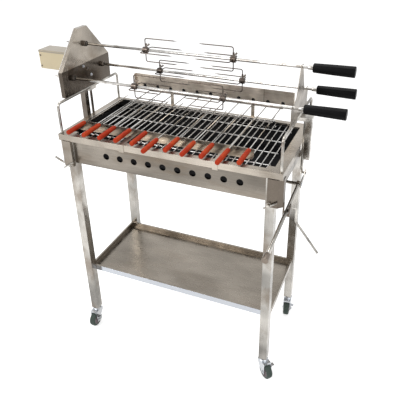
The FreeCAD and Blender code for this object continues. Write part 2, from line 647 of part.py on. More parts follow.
def windshield():
    body = solid_body("windshield", y=SHIELD_BACK)
    pad(body, "XZ", D.sheet, [rectangle(D.shield_left, SHIELD_BOTTOM, D.shield_right,
                                        SHIELD_TOP)], back=True)
    for x in (D.shield_tab_left, D.shield_tab_right):
        x0, x1 = x - D.shield_tab_wide / 2, x + D.shield_tab_wide / 2
        pad(body, "XZ", D.sheet, [rectangle(x0, D.rim_top, x1, SHIELD_BOTTOM + D.sheet)], back=True)
        pad(body, "XY", D.sheet, [rectangle(x0, -D.shield_foot, x1, D.sheet)], offset=D.rim_top)
    for x in (D.shield_left, D.shield_right - D.sheet):
        pad(body, "XY", SHIELD_TOP - SHIELD_BOTTOM,
            [rectangle(x, -D.shield_flange, x + D.sheet, D.sheet / 2)], offset=SHIELD_BOTTOM)
    hole = (D.shield_left + D.shield_hole_inset, SHIELD_BOTTOM + D.shield_hole_up,
            D.shield_hole / 2)
    holes = pocket(body, "XZ", D.sheet * 4, circles=[hole], middle=True)
    repeat_in_line(body, holes, D.shield_hole_step, SHIELD_HOLE_COUNT)
    node("windshield", body)


def warming_rack():
    wires = []
    half = D.rack_wire / 2
    front = SHIELD_BACK - D.rack_deep
    first = D.shield_left + D.rack_inset
    for index in range(RACK_WIRE_COUNT):
        wires.append(rod(f"rack_wire_{index}", ALONG_Y, first + D.rack_step * index, front,
                         RACK_Z + half, half, D.rack_deep))
    for name, y in (("front", front + D.rack_wire), ("rear", SHIELD_BACK - D.rack_wire)):
        wires.append(rod("rack_rail_" + name, ALONG_X, first - D.rack_wire * 2, y, RACK_Z - half,
                         half, D.rack_step * (RACK_WIRE_COUNT - 1) + D.rack_wire * 4))
    node("warming_rack", *wires)


# ---------------------------------------------------------------- lift
def lift_frame(side, name):
    """A bent rod on two sliding legs, with the bracket, post and push rod welded to it."""
    x = side * ROD_X
    points = [(x, -ROD_Y, FRAME_FOOT), (x, -ROD_Y, FRAME_BAR), (x, ROD_Y, FRAME_BAR),
              (x, ROD_Y, FRAME_FOOT)]
    frame = bent_rod("frame_rod_" + name, points, D.rod, D.frame_bend)
    under = FRAME_BAR - D.rod / 2 - D.bracket_thick
    reach = POST_X + D.post_side / 2 - ROD_X + D.rod / 2
    inner = ROD_X - D.rod / 2 if side == RIGHT else -POST_X - D.post_side / 2
    post_y = PIN_Y - D.bracket_deep / 2
    bracket = box("frame_bracket_" + name, inner, post_y - D.bracket_deep / 2 + D.pin / 2, under,
                  reach, D.bracket_deep + D.pin / 2, D.bracket_thick + D.rod / 2)
    half = D.post_side / 2
    post = box("post_out_" + name, side * POST_X - half, post_y - half, POST_FOOT,
               D.post_side, D.post_side, under - POST_FOOT)
    bore = D.post_side - 2 * D.post_wall
    hollow = box("post_in_" + name, side * POST_X - bore / 2, post_y - bore / 2, POST_FOOT - 1,
                 bore, bore, under - POST_FOOT - D.post_wall)
    push = rod("push_rod_" + name, UPRIGHT, side * PUSH_X, PIN_Y, PIN_Z - D.pin / 2,
               D.rod / 2, under - PIN_Z + D.pin)
    pin_long = crank_face() + D.crank_thick + D.pin / 4 - PUSH_X
    pin_x = PUSH_X if side == RIGHT else -PUSH_X - pin_long
    pin = rod("push_pin_" + name, ALONG_X, pin_x, PIN_Y, PIN_Z, D.pin / 2, pin_long)
    whole = fuse("frame_weldment_" + name, frame, bracket, cut("post_" + name, post, hollow), push, pin)
    node("lift_frame_" + name, whole)


def crank_face():
    """The inner face of the crank arms, just outside the lever hub."""
    return LEVER_X + D.lever_hub_long / 2


def lift_shaft():
    """The cross shaft under the firebox with a slotted crank arm at each end."""
    reach = crank_face() + D.crank_thick
    shaft = rod("shaft_bar", ALONG_X, -reach, D.shaft_y, SHAFT_Z, D.shaft / 2, 2 * reach)
    pieces = [shaft]
    low, high = math.cos(math.radians(CRANK_RISE)), 1 / math.cos(math.radians(CRANK_RISE + 5))
    near = D.crank_reach * low - D.pin / 2 - D.pin_gap
    far = D.crank_reach * high + D.pin / 2 + D.pin_gap
    wide = D.pin / 2 + D.pin_gap
    half = D.crank_wide / 2
    for side in (LEFT, RIGHT):
        x = crank_face() if side == RIGHT else -crank_face() - D.crank_thick
        arm = solid_body(f"crank_{'right' if side == RIGHT else 'left'}", x, D.shaft_y, SHAFT_Z,
                         Rotation(Vector(1, 0, 0), CRANK_RISE))
        pad(arm, "YZ", D.crank_thick, [rectangle(-half, -half, far + half / 2, half)])
        pocket(arm, "YZ", D.crank_thick * 3, [rectangle(near, -wide, far, wide)], middle=True)
        pieces.append(arm)
    node("lift_shaft", fuse("shaft_weldment", *pieces))


def lift_lever():
    """The long lever: a hub on the cross shaft, a tube forward to the cook and its end cap."""
    aim = Rotation(Vector(1, 0, 0), 90 + LEVER_DROOP)
    hub = rod("lever_hub", ALONG_X, LEVER_X - D.lever_hub_long / 2, D.shaft_y, SHAFT_Z,
              D.lever_hub / 2, D.lever_hub_long)
    tube = rod("lever_bar", aim, LEVER_X, D.shaft_y, SHAFT_Z, D.lever_tube / 2, D.lever_long)
    start = D.lever_long - D.lever_cap_long
    cap = rod("lever_cap", aim, LEVER_X, D.shaft_y - start * math.cos(LEVER_SLOPE),
              SHAFT_Z - start * math.sin(LEVER_SLOPE), D.lever_cap / 2, D.lever_cap_long)
    bore = rod("lever_bore", ALONG_X, LEVER_X - D.lever_tube, D.shaft_y, SHAFT_Z,
               D.shaft / 2, D.lever_hub_long * 2)
    node("lift_lever", cut("lever_whole", fuse("lever_solid", hub, tube, cap), bore))


# ---------------------------------------------------------------- gear case and drive
def case_outline():
    """The tapered side view of the gear case in (y, z), seen along +X."""
    top, shoulder = SPIT_TOP_Z + D.case_over_spit, SPIT_TOP_Z - D.shoulder_under_spit
    return [(-D.case_foot_half, BAR_TOP), (D.case_foot_half, BAR_TOP), (D.case_half, shoulder),
            (D.case_top_half, top), (-D.case_top_half, top), (-D.case_half, shoulder)]


def hub_holes(gap):
    """Bearing holes for the three spit hubs and the drive shaft."""
    holes = [(y, z, D.hub / 2 + gap) for y, z in SPITS.values()]
    return holes + [(as_size(0), DRIVE_Z, D.shaft / 2 + gap)]


def gear_plate():
    body = solid_body("gear_plate", x=CASE_BACK)
    shell = pad(body, "YZ", D.case_deep, [case_outline()])
    DOC.recompute()
    rear = min(range(len(shell.Shape.Faces)), key=lambda i: shell.Shape.Faces[i].CenterOfMass.x)
    hollow = body.newObject("PartDesign::Thickness", "gear_plate_fold")
    hollow.Base = (shell, [f"Face{rear + 1}"])
    hollow.Join = 1
    hollow.Reversed = True
    bind(hollow, Value=D.plate)
    pocket(body, "YZ", D.plate * 4, circles=hub_holes(D.hub_gap), offset=D.case_deep, middle=True)
    node("gear_plate", body)


def gear_cover():
    body = solid_body("gear_cover", x=CASE_BACK - D.sheet)
    pad(body, "YZ", D.sheet, [case_outline()], hub_holes(D.hub_gap))
    node("gear_cover", body)


def mesh_phase(direction, drive_phase):
    """The turn of a spit gear whose tooth gap meets the drive gear's tooth in a direction."""
    drive_pitch, spit_pitch = 360 / DRIVE_TEETH, 360 / SPIT_TEETH
    return direction + 180 - spit_pitch * (0.5 - (direction - drive_phase) / drive_pitch)


def toothed_wheel(body, radius, teeth, phase=0.0):
    """A spur wheel on the body's X axis: a root disc and one tooth repeated round it."""
    module = D.gear_module
    root, tip = radius - module, radius + module * TOOTH_RISE
    pad(body, "YZ", D.gear_thick, circles=[(0, 0, root)], middle=True)
    flank = [(root - module * TOOTH_LAP, module), (radius, module * TOOTH_MIDDLE),
             (tip, module * TOOTH_TOP)]
    tooth = [(r, -across) for r, across in flank] + flank[::-1]
    cosine, sine = math.cos(math.radians(phase)), math.sin(math.radians(phase))
    turned_tooth = [(r * cosine - across * sine, r * sine + across * cosine) for r, across in tooth]
    single = pad(body, "YZ", D.gear_thick, [turned_tooth], middle=True)
    repeat_round(body, single, teeth)


def drive_gear():
    x = CASE_FRONT - D.plate - D.case_deep / 2 + D.plate / 2
    body = solid_body("drive_gear", x, 0, DRIVE_Z)
    toothed_wheel(body, GEAR_RADIUS, DRIVE_TEETH)
    behind = x - CASE_BACK + D.sheet + D.drive_in_motor
    ahead = CASE_FRONT - x + D.plate
    pad(body, "YZ", behind, circles=[(0, 0, D.shaft / 2)], back=True)
    pad(body, "YZ", ahead, circles=[(0, 0, D.shaft / 2)])
    node("drive_gear", body)


def spit_gears():
    x = CASE_FRONT - D.plate - D.case_deep / 2 + D.plate / 2
    for name, (y, z) in SPITS.items():
        rise = z.value - DRIVE_Z.value
        direction = math.degrees(math.atan2(rise, y.value))
        body = solid_body("spit_gear_" + name, x, y, z)
        toothed_wheel(body, SPIT_GEAR_RADIUS, SPIT_TEETH, mesh_phase(direction, 0))
        pad(body, "YZ", CASE_FRONT - x + D.hub_front, circles=[(0, 0, D.hub / 2)])
        pad(body, "YZ", x - CASE_BACK + D.sheet + D.hub_back, circles=[(0, 0, D.hub / 2)], back=True)
        bore = D.tang + 2 * D.tang_gap
        pocket(body, "YZ", D.case_deep * 6, [centred(bore, bore)], middle=True)
        node("spit_gear_" + name, body)


def motor_housing():
    x, bottom = CASE_BACK - D.sheet - D.motor_long, DRIVE_Z - D.motor_under_drive
    body = solid_body("motor_case", x, 0, bottom)
    footprint = rectangle(0, -D.motor_deep / 2, D.motor_long, D.motor_deep / 2)
    case = pad(body, "XY", D.motor_high, [footprint])
    DOC.recompute()
    rounded = body.newObject("PartDesign::Fillet", "motor_case_round")
    edges = [f"Edge{i + 1}" for i, edge in enumerate(case.Shape.Edges)
             if edge.BoundBox.XLength > 1 or edge.BoundBox.XMax < 1]
    rounded.Base = (case, edges)
    bind(rounded, Radius=D.motor_round)
    wall = D.motor_wall
    inside = box("motor_room", x + wall, wall - D.motor_deep / 2, bottom + wall,
                 D.motor_long - 2 * wall, D.motor_deep - 2 * wall, D.motor_high - 2 * wall)
    core_start = x + D.motor_long - wall - D.motor_core_long
    core = rod("motor_core", ALONG_X, core_start, 0, DRIVE_Z, D.motor_core / 2, D.motor_core_long)
    bore = rod("motor_bore", ALONG_X, x + D.motor_long - D.drive_in_motor - 1, 0, DRIVE_Z,
               D.shaft / 2 + D.hub_gap, D.drive_in_motor + 2)
    whole = fuse("motor_whole", cut("motor_shell", body, inside), core)
    node("motor_housing", cut("motor_bored", whole, bore))


def spit_support():
    """The notched plate that carries the handle ends of the three spits."""
    body = solid_body("spit_support", x=ROD_X - D.plate / 2)
    low_y, low_z, top_z = SPIT_LOW_Y, SPIT_LOW_Z, SPIT_TOP_Z
    slot = D.spit / 2 + D.spit_notch_gap
    half = [(D.case_foot_half - D.support_foot_in, BAR_TOP),
            (low_y + D.support_lobe_low, BAR_TOP + D.support_lobe_low),
            (low_y + D.support_lobe_out, low_z - D.support_lobe_low),
            (low_y + D.support_lobe_top, low_z + D.support_lobe_up),
            (low_y - D.support_lobe_in, low_z + D.support_lobe_up),
            (low_y - D.support_waist_in, low_z + D.support_waist_up),
            (low_y - D.support_neck_in, low_z + D.support_neck_up),
            (slot + D.support_head, top_z + D.support_head)]
    outline = half + [(-y, z) for y, z in reversed(half)]
    pad(body, "YZ", D.plate, [outline])
    pocket(body, "YZ", D.plate * 3, circles=[(y, z, slot) for y, z in SPITS.values()], middle=True)
    throats = [rectangle(y - slot, z, y + slot, z + D.support_throat) for y, z in SPITS.values()]
    pocket(body, "YZ", D.plate * 3, throats, middle=True)
    node("spit_support", body)


# ---------------------------------------------------------------- spits, forks and hand skewers
def spits():
    for name, (y, z) in SPITS.items():
        bar = rod("spit_bar_" + name, ALONG_X, SPIT_SHOULDER, y, z, D.spit / 2,
                  GRIP_START + D.grip_long - D.grip_end_wall - SPIT_SHOULDER)
        tang_x = SPIT_SHOULDER - D.spit_tang_long
        tang = box("spit_tang_" + name, tang_x, y - D.tang / 2, z - D.tang / 2,
                   D.spit_tang_long, D.tang, D.tang)
        point = cone("spit_point_" + name, ALONG_X, tang_x - D.spit_point, y, z, 0.5, D.tang / 2,
                     D.spit_point)
        node("spit_" + name, fuse("spit_rod_" + name, bar, tang, point))


def spit_handles():
    for name, (y, z) in SPITS.items():
        body = solid_body("spit_handle_" + name, GRIP_START, y, z)
        bore, start, end = D.spit / 2, D.grip_thin / 2, D.grip_thick / 2
        turned(body, [(0, bore), (0, start), (D.grip_long - D.grip_chamfer, end),
                      (D.grip_long, end - D.grip_chamfer), (D.grip_long, 0),
                      (D.grip_long - D.grip_end_wall, 0), (D.grip_long - D.grip_end_wall, bore)])
        node("spit_handle_" + name, body)


def prong_profile():
    """One bent prong in (x, radius): out of the hub, round the elbow and along the spit."""
    root, elbow, bar = D.fork_hub / 2 - D.fork_root, D.fork_elbow, D.fork_bar
    reach = D.fork_reach
    return [(-bar / 2, root), (bar / 2, root), (bar / 2, reach - elbow - bar / 2),
            (elbow - bar / 2, reach - bar), (D.fork_long - D.fork_tip, reach - bar),
            (D.fork_long, reach - bar / 2), (D.fork_long - D.fork_tip, reach),
            (elbow - bar, reach), (-bar / 2, reach - elbow)]


def fork(name, spit_name, x, aim):
    """A four-pronged meat fork with its wing screw; aim is the way its prongs point."""
    y, z = SPITS[spit_name]
    body = solid_body(f"fork_{spit_name}_{name}_prongs", x, y, z)
    pad(body, "YZ", D.fork_hub_long, circles=[(0, 0, D.fork_hub / 2)], middle=True)
    prong = pad(body, "XZ", D.fork_bar, [[(aim * px, pr) for px, pr in prong_profile()]], middle=True)
    ring = body.newObject("PartDesign::PolarPattern", body.Name + "_ring")
    ring.Originals = [prong]
    ring.Axis = (prong.Profile[0], ["H_Axis"])
    ring.Angle = 360
    ring.Occurrences = 4
    body.Tip = ring
    pocket(body, "YZ", D.fork_hub_long * 2, circles=[(0, 0, D.spit / 2 + D.fork_gap)], middle=True)
    screw_turn = Rotation(Vector(1, 0, 0), -45)
    screw = rod(f"screw_{spit_name}_{name}", screw_turn, x, y, z, D.wing_screw / 2, D.fork_hub)
    clear = rod(f"screw_clear_{spit_name}_{name}", ALONG_X, x - D.fork_hub, y, z,
                D.spit / 2 + D.fork_gap, D.fork_hub * 2)
    wing = box(f"wing_{spit_name}_{name}", 0, 0, 0, D.fork_bar * 4, D.sheet, D.fork_bar * 2)
    put(wing, x - D.fork_bar * 2, y + D.wing_seat, z + D.wing_seat, screw_turn)
    threaded = rod(f"thread_{spit_name}_{name}", screw_turn, x, y, z,
                   D.wing_screw / 2 + D.hub_gap, D.fork_hub)
    pieces = [cut(f"fork_{spit_name}_{name}_body", body, threaded),
              cut(f"wing_screw_{spit_name}_{name}",
                  fuse(f"wing_screw_solid_{spit_name}_{name}", screw, wing), clear)]
    node(f"fork_{spit_name}_{name}", *pieces)


def forks():
    for spit_name in SPITS:
        fork("left", spit_name, D.fork_left, 1)
        fork("right", spit_name, D.fork_right, -1)


def hand_skewers():
    """Square skewers with turned wooden handles, each lying in its own notch."""
    for index, pulled in enumerate(SKEWER_PULLED_OUT):
        x, z = skewer_x(index), SKEWER_Z
        grip_end = REST_FRONT - D.skewer_grip_gap - pulled
        start = grip_end + D.skewer_ferrule
        half = D.skewer_bar / 2
        tip = REST_REAR + D.skewer_tip_over - pulled
        blade = box(f"blade_{index}", x - half, start, z - half, D.skewer_bar, tip - start,
                    D.skewer_bar)
        point = DOC.addObject("Part::Wedge", f"blade_point_{index}")
        point.Xmin, point.Ymin, point.Zmin = 0, 0, 0
        low, high = half - D.skewer_point_end / 2, half + D.skewer_point_end / 2
        bind(point, Xmax=D.skewer_bar, Zmax=D.skewer_bar, Ymax=D.skewer_point,
             X2min=low, X2max=high, Z2min=low, Z2max=high)
        put(point, x - half, tip, z - half)
        ferrule = rod(f"ferrule_{index}", ALONG_Y, x, grip_end, z, D.skewer_bar, D.skewer_ferrule)
        neck, thick, long = D.skewer_grip_neck, D.skewer_grip_thick / 2, D.skewer_grip_long
        body = solid_body(f"skewer_grip_{index}", x, grip_end, z, Rotation(Vector(0, 0, 1), -90))
        turned(body, [(0, 0), (0, thick - neck / 2), (neck, thick), (long - neck / 2, thick),
                      (long, thick - neck / 2), (long, 0)])
        node(f"hand_skewer_{index + 1}", fuse(f"skewer_blade_{index}", blade, point), ferrule, body)


# ---------------------------------------------------------------- casters
def caster(corner, sx, sy):
    """A swivel caster trailing along its own +X, with a side brake lever on its +Y side."""
    turn = Rotation(Vector(0, 0, 1), CASTER_TURN[corner])
    x, y = sx * (LEG_X - D.leg_side / 2), sy * (LEG_Y - D.leg_side / 2)
    radius = D.wheel / 2
    side = D.wheel_wide / 2 + D.fork_side_gap
    cup_foot = LEG_BOTTOM - D.cup_high
    crown = D.wheel + D.fork_plate
    housing = solid_body("housing_" + corner, x, y, 0, turn)
    roof = rectangle(-D.cup / 2, -side - D.fork_plate, D.trail + D.cheek_lap, side + D.fork_plate)
    pad(housing, "XY", cup_foot - crown, [roof], offset=crown)
    cheek = [(-D.cup / 2, cup_foot), (-D.cup / 2, crown - D.cheek_lip),
             (D.trail - D.cheek_nose, radius - D.cheek_lap),
             (D.trail + D.cheek_nose, radius - D.cheek_lap), (D.trail + D.cheek_lap, cup_foot)]
    for reach in (side, -side - D.fork_plate):
        pad(housing, "XZ", D.fork_plate, [cheek], offset=-reach, back=True)
    pad(housing, "XY", D.cup_high - D.weld, circles=[(0, 0, D.cup / 2)], offset=cup_foot)
    pad(housing, "XY", D.stem_long + D.weld, circles=[(0, 0, D.stem / 2)],
        offset=LEG_BOTTOM - D.weld)
    axle_reach = side + D.fork_plate + D.brake_thick + D.axle_end
    pad(housing, "XZ", axle_reach + side + D.fork_plate, circles=[(D.trail, radius, D.axle / 2)],
        offset=-axle_reach)
    node("caster_fork_" + corner, housing)

    roller = solid_body("roller_" + corner, x, y, 0, turn)
    pad(roller, "XZ", D.wheel_wide, circles=[(D.trail, radius, radius),
                                             (D.trail, radius, D.axle / 2 + D.hub_gap)], middle=True)
    node("caster_wheel_" + corner, roller)

    brake = solid_body("brake_" + corner, x, y, 0, turn)
    inner = side + D.fork_plate + D.brake_gap
    toe = radius + D.brake_arm
    back, front = D.trail - D.toe_back, D.trail + D.toe_front
    heel = radius - D.brake_half
    arm = [(D.trail - D.brake_half, heel), (D.trail + D.brake_half, heel), (front, toe), (back, toe)]
    pad(brake, "XZ", D.brake_thick, [arm], [(D.trail, radius, D.axle / 2 + D.hub_gap)],
        offset=-inner, back=True)
    pad(brake, "XY", D.brake_thick, [rectangle(back, inner, front, inner + D.toe_wide)], offset=toe)
    node("caster_brake_" + corner, brake)


def casters():
    for corner, (sx, sy) in CORNERS.items():
        caster(corner, sx, sy)


# ---------------------------------------------------------------- assembly
def build():
    legs()
    firebox()
    firebox_rim()
    corner_guides()
    storage_shelf()
    charcoal_tray()
    grill_grate()
    skewer_rests()
    windshield()
    warming_rack()
    lift_shaft()
    lift_lever()
    lock_pins()
    clamp_screws()
    lift_frame(LEFT, "left")
    lift_frame(RIGHT, "right")
    gear_plate()
    gear_cover()
    motor_housing()
    drive_gear()
    spit_gears()
    spit_support()
    spits()
    spit_handles()
    forks()
    hand_skewers()
    casters()
    DOC.recompute()


def check():
    """Stops before anything is written if a feature failed or a solid is not sound."""
    for item in DOC.Objects:
        if "Invalid" in item.State or "Error" in item.State:
            raise RuntimeError(f"{item.Name} ({item.Label}) did not build: {item.State}")
    for piece in NODES:
        if piece.Shape.isNull() or not piece.Shape.isValid() or not piece.Shape.Solids:
            raise RuntimeError(f"{piece.Label} has no sound solid")


def export():
    os.makedirs("parts", exist_ok=True)
    for piece in NODES:
        piece.Shape.exportStep(os.path.join("parts", piece.Label + ".step"))


build()
check()
export()
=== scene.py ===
"""Looks of the charcoal rotisserie cart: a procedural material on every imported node, and the
rounded, welded, bolted and turned pieces that a plain solid leaves out.

Metres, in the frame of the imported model: +X to the spit handles, -Y to the cook, +Z up.
"""
import bpy
import bmesh
import json
import math
from mathutils import Euler, Matrix, Vector


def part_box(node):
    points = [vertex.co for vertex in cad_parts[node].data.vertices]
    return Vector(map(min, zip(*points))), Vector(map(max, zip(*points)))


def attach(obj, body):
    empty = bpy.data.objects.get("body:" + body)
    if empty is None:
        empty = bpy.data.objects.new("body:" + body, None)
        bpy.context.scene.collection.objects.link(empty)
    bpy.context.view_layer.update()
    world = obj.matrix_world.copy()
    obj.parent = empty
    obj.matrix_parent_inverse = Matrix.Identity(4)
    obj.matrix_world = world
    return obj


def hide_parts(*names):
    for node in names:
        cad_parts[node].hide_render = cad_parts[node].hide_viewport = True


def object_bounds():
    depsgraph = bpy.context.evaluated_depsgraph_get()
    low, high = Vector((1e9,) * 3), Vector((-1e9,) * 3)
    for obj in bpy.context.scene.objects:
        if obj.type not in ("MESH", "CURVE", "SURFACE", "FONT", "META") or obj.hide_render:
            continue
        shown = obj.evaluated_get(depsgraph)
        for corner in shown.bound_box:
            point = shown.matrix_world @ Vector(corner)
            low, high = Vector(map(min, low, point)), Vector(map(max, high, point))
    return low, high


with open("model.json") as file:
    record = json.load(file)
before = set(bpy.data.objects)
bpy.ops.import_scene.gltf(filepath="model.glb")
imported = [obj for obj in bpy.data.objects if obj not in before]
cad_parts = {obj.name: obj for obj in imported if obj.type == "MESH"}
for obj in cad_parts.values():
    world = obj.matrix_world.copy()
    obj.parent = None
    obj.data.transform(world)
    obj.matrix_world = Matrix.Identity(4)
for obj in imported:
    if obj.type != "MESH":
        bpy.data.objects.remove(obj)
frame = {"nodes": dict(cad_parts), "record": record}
cad_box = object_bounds()
NODES = frame["nodes"]
JOINTS = {joint["name"]: joint for joint in frame["record"]["behaviour"]["joints"]}
X, Y, Z = Vector((1, 0, 0)), Vector((0, 1, 0)), Vector((0, 0, 1))
MM = 0.001

CASTERS = ("front_left", "front_right", "rear_left", "rear_right")
SPITS = ("top", "rear", "front")
SKEWERS = sorted((name for name in NODES if name.startswith("hand_skewer_")),
                 key=lambda name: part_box(name)[0][0])

# ---------------------------------------------------------------- camera
CAMERA_AT = Vector((0.77282, -1.46688, 1.70974))
CAMERA_TURN = Euler((math.radians(62.56), math.radians(0.26), math.radians(21.64)))
CAMERA_LENS = 45.57
CAMERA_SHIFT = (-0.05, -0.10)

# ---------------------------------------------------------------- colours, linear
STAINLESS = (0.35, 0.313, 0.268)
# painted shade: the dark colour laid over the zones of steel that lie in shade
PAINTED_SHADE = (0.105, 0.085, 0.068)
POLISHED = (0.35, 0.335, 0.31)
WIRE = (0.72, 0.71, 0.69)
RACK_STEEL = (0.20, 0.185, 0.17)
SOOT = (0.010, 0.010, 0.011)
HEAT_TINT = (0.16, 0.11, 0.075)
GEAR_STEEL = (0.16, 0.135, 0.115)
ZINC = (0.58, 0.60, 0.63)
CREAM = (0.59, 0.50, 0.33)
# painted shade and reflection: the greyer cream of the motor box's top
CREAM_PAINTED_SHADE = (0.34, 0.30, 0.24)
BLACK_GRIP = (0.0025, 0.0025, 0.0028)
RED_LACQUER = (0.44, 0.036, 0.010)
RED_WORN = (0.60, 0.095, 0.02)
GREY_TYRE = (0.060, 0.080, 0.070)
HUB_GREY = (0.24, 0.20, 0.21)
STAIN_BROWN = (0.15, 0.11, 0.075)
ZINC_STAIN = (0.36, 0.34, 0.28)
REST_BRIGHT = (0.70, 0.69, 0.67)
# painted highlight: the lighter colour of the shelf's front edge
SHELF_PAINTED_HIGHLIGHT = (0.50, 0.53, 0.58)
COVER_STEEL = (0.82, 0.81, 0.79)
SPIT_STEEL = (0.56, 0.545, 0.52)
FORK_STEEL = (0.085, 0.07, 0.06)
WHITE = (1.0, 1.0, 1.0, 1.0)
FLOOR_WHITE = (0.9, 0.9, 0.9, 1.0)

# ---------------------------------------------------------------- noises, scale per metre
STEEL_GRAIN, STEEL_CLOUD, STEEL_STAIN, STEEL_SMEAR, STEEL_DENT = 14.0, 4.6, 9.0, 22.0, 7.0
DENT_SHARE = 30
STEEL_RELIEF = 0.16
SOOT_ROUGH = 0.85
PAINT_PEEL, PAINT_DIRT = 420.0, 9.0
PLASTIC_TEXTURE, PLASTIC_RUB = 900.0, 24.0
WOOD_FIBRE, WOOD_CLOUD = 60.0, 18.0

# ---------------------------------------------------------------- measures of added detail
# lengths in metres, angles in degrees; places of the vents in millimetres
GRATE_BARS, GRATE_RODS, GRATE_END, CROSS_INSET = 31, 4, 5 * MM, 45.5 * MM
RACK_BARS = 11
TANG_FROM, TANG_TO, TANG_HALF = 14 * MM, 96 * MM, 4 * MM
HUB_RADIUS, HUB_BORE, HUB_HALF = 11 * MM, 5.1 * MM, 10 * MM
PRONG_LONG, PRONG_WIRE, PRONG_BEND, PRONG_POINT = 128 * MM, 1.9 * MM, 7 * MM, 16 * MM
WING_TILT, WING_SPLAY = -45, 14
BLADE_HALF, BLADE_POINT, GRIP_LONG = 2 * MM, 12 * MM, 107 * MM
CASE_BOLTS = ((-23 * MM, 144 * MM), (21 * MM, 189 * MM))
CASE_WELDS = (-120 * MM, -40 * MM, 40 * MM, 120 * MM)
WELD_HALF = 9 * MM
# height and overhang of the darker sheet that paints shade and reflection on the motor box's top
MOTOR_HIGH, SHADE_SHEET_HIGH, SHADE_SHEET_OVER = 74 * MM, 9 * MM, 0.4 * MM
VENT_FIRST, VENT_STEP, VENTS = 14, 8.8, 6
BRACKET_HIGH, POST_SHIFT, POST_HALF = 19.6 * MM, 10 * MM, 11 * MM
SHAFT_MIDDLE = 12.2 * MM
LEVER_SLOPE, LEVER_LONG, LEVER_RADIUS, LEVER_HUB = 6.5, 404 * MM, 6.5 * MM, 11 * MM
SLEEVE_RIDGES, SLEEVE_RIDGE = 18, 0.012
CLAMP_WIDE, CLAMP_SHIFT, CLAMP_TILT, CLAMP_REACH = 52 * MM, 6.7 * MM, 33, 27.6 * MM
SHELF_CORNER, SHELF_WELD = 27 * MM, 26 * MM
STRIP_TOP, LAP_RIGHT = 84 * MM, 122 * MM

# half sections, in millimetres along the axis and out from it
TYRE_HALF = ((12, 22.5), (12, 27), (11.4, 29.6), (9.6, 31.6), (7, 32.3), (1.4, 32.5), (0.9, 31.9))
WHEEL_HUB_HALF = ((12, 4.1), (12, 7.2), (11.2, 8), (8, 9), (6.5, 12), (6.5, 17.5), (8, 20),
                  (11.6, 21), (11.9, 22.6))

# ---------------------------------------------------------------- studio
FLOOR_REACH, FLOOR_GLOW, AIR_LIGHT = 14.0, 0.58, 0.5
LAMP_TARGET = Vector((0.0, 0.1, 0.75))
LAMPS = (("key_softbox", Vector((-1.6, -2.3, 3.0)), 1.8, 60.0),
         ("fill_softbox", Vector((2.6, -1.1, 2.2)), 1.6, 24.0),
         ("top_softbox", Vector((-0.4, 1.2, 4.2)), 2.2, 45.0))


# ---------------------------------------------------------------- materials
def node_tree(name):
    material = bpy.data.materials.new(name)
    material.use_nodes = True
    tree = material.node_tree
    tree.nodes.clear()
    out = tree.nodes.new("ShaderNodeOutputMaterial")
    shader = tree.nodes.new("ShaderNodeBsdfPrincipled")
    tree.links.new(shader.outputs["BSDF"], out.inputs["Surface"])
    return material, tree, shader


def noise(tree, scale, stretch=(1, 1, 1), detail=4.0, rough=0.55, shift=(0, 0, 0)):
    """Noise over the object's own coordinates, drawn out along an axis by a small stretch."""
    place = tree.nodes.new("ShaderNodeTexCoord")
    move = tree.nodes.new("ShaderNodeMapping")
    move.inputs["Scale"].default_value = stretch
    move.inputs["Location"].default_value = shift
    cloud = tree.nodes.new("ShaderNodeTexNoise")
    cloud.inputs["Scale"].default_value = scale
    cloud.inputs["Detail"].default_value = detail
    cloud.inputs["Roughness"].default_value = rough
    tree.links.new(place.outputs["Object"], move.inputs["Vector"])
    tree.links.new(move.outputs["Vector"], cloud.inputs["Vector"])
    return cloud.outputs["Fac"]


def spread(tree, value, low, high, start=0.3, end=0.7):
    """Maps a value from start..end to low..high."""
    scale = tree.nodes.new("ShaderNodeMapRange")
    scale.inputs["From Min"].default_value = start
    scale.inputs["From Max"].default_value = end
    scale.inputs["To Min"].default_value = low
    scale.inputs["To Max"].default_value = high
    tree.links.new(value, scale.inputs["Value"])
    return scale.outputs["Result"]


def blended(tree, share, first, second):
    """A colour between two colours; any of the three may be a socket."""
    mix = tree.nodes.new("ShaderNodeMix")
    mix.data_type = "RGBA"
    for socket, value in ((mix.inputs["A"], first), (mix.inputs["B"], second)):
        if isinstance(value, bpy.types.NodeSocket):
            tree.links.new(value, socket)
        else:
            socket.default_value = (*value, 1.0)
    if isinstance(share, bpy.types.NodeSocket):
        tree.links.new(share, mix.inputs["Factor"])
    else:
        mix.inputs["Factor"].default_value = share
    return mix.outputs["Result"]


def maths(tree, operation, first, second):
    """A math node over two values, either of which may be a number."""
    step = tree.nodes.new("ShaderNodeMath")
    step.operation = operation
    for socket, value in zip(step.inputs, (first, second)):
        if isinstance(value, bpy.types.NodeSocket):
            tree.links.new(value, socket)
        else:
            socket.default_value = value
    return step.outputs["Value"]


def bumped(tree, shader, height, strength, distance=0.0004, round_edge=0.0):
    """Bump from a height value, over edges that a small radius softens."""
    bump = tree.nodes.new("ShaderNodeBump")
    bump.inputs["Strength"].default_value = strength
    bump.inputs["Distance"].default_value = distance
    tree.links.new(height, bump.inputs["Height"])
    if round_edge:
        edge = tree.nodes.new("ShaderNodeBevel")
        edge.inputs["Radius"].default_value = round_edge
        tree.links.new(edge.outputs["Normal"], bump.inputs["Normal"])
    tree.links.new(bump.outputs["Normal"], shader.inputs["Normal"])


def scaled(colour, factor):
    return tuple(min(1.0, channel * factor) for channel in colour)


def within(tree, low, high):
    """1 where a point of the object lies inside the box between two corners, else 0."""
    place = tree.nodes.new("ShaderNodeTexCoord")
    split = tree.nodes.new("ShaderNodeSeparateXYZ")
    tree.links.new(place.outputs["Object"], split.inputs["Vector"])
    inside = 1.0
    for axis in range(3):
        above = maths(tree, "GREATER_THAN", split.outputs[axis], low[axis])
        below = maths(tree, "LESS_THAN", split.outputs[axis], high[axis])
        inside = maths(tree, "MULTIPLY", inside, maths(tree, "MULTIPLY", above, below))
    return inside


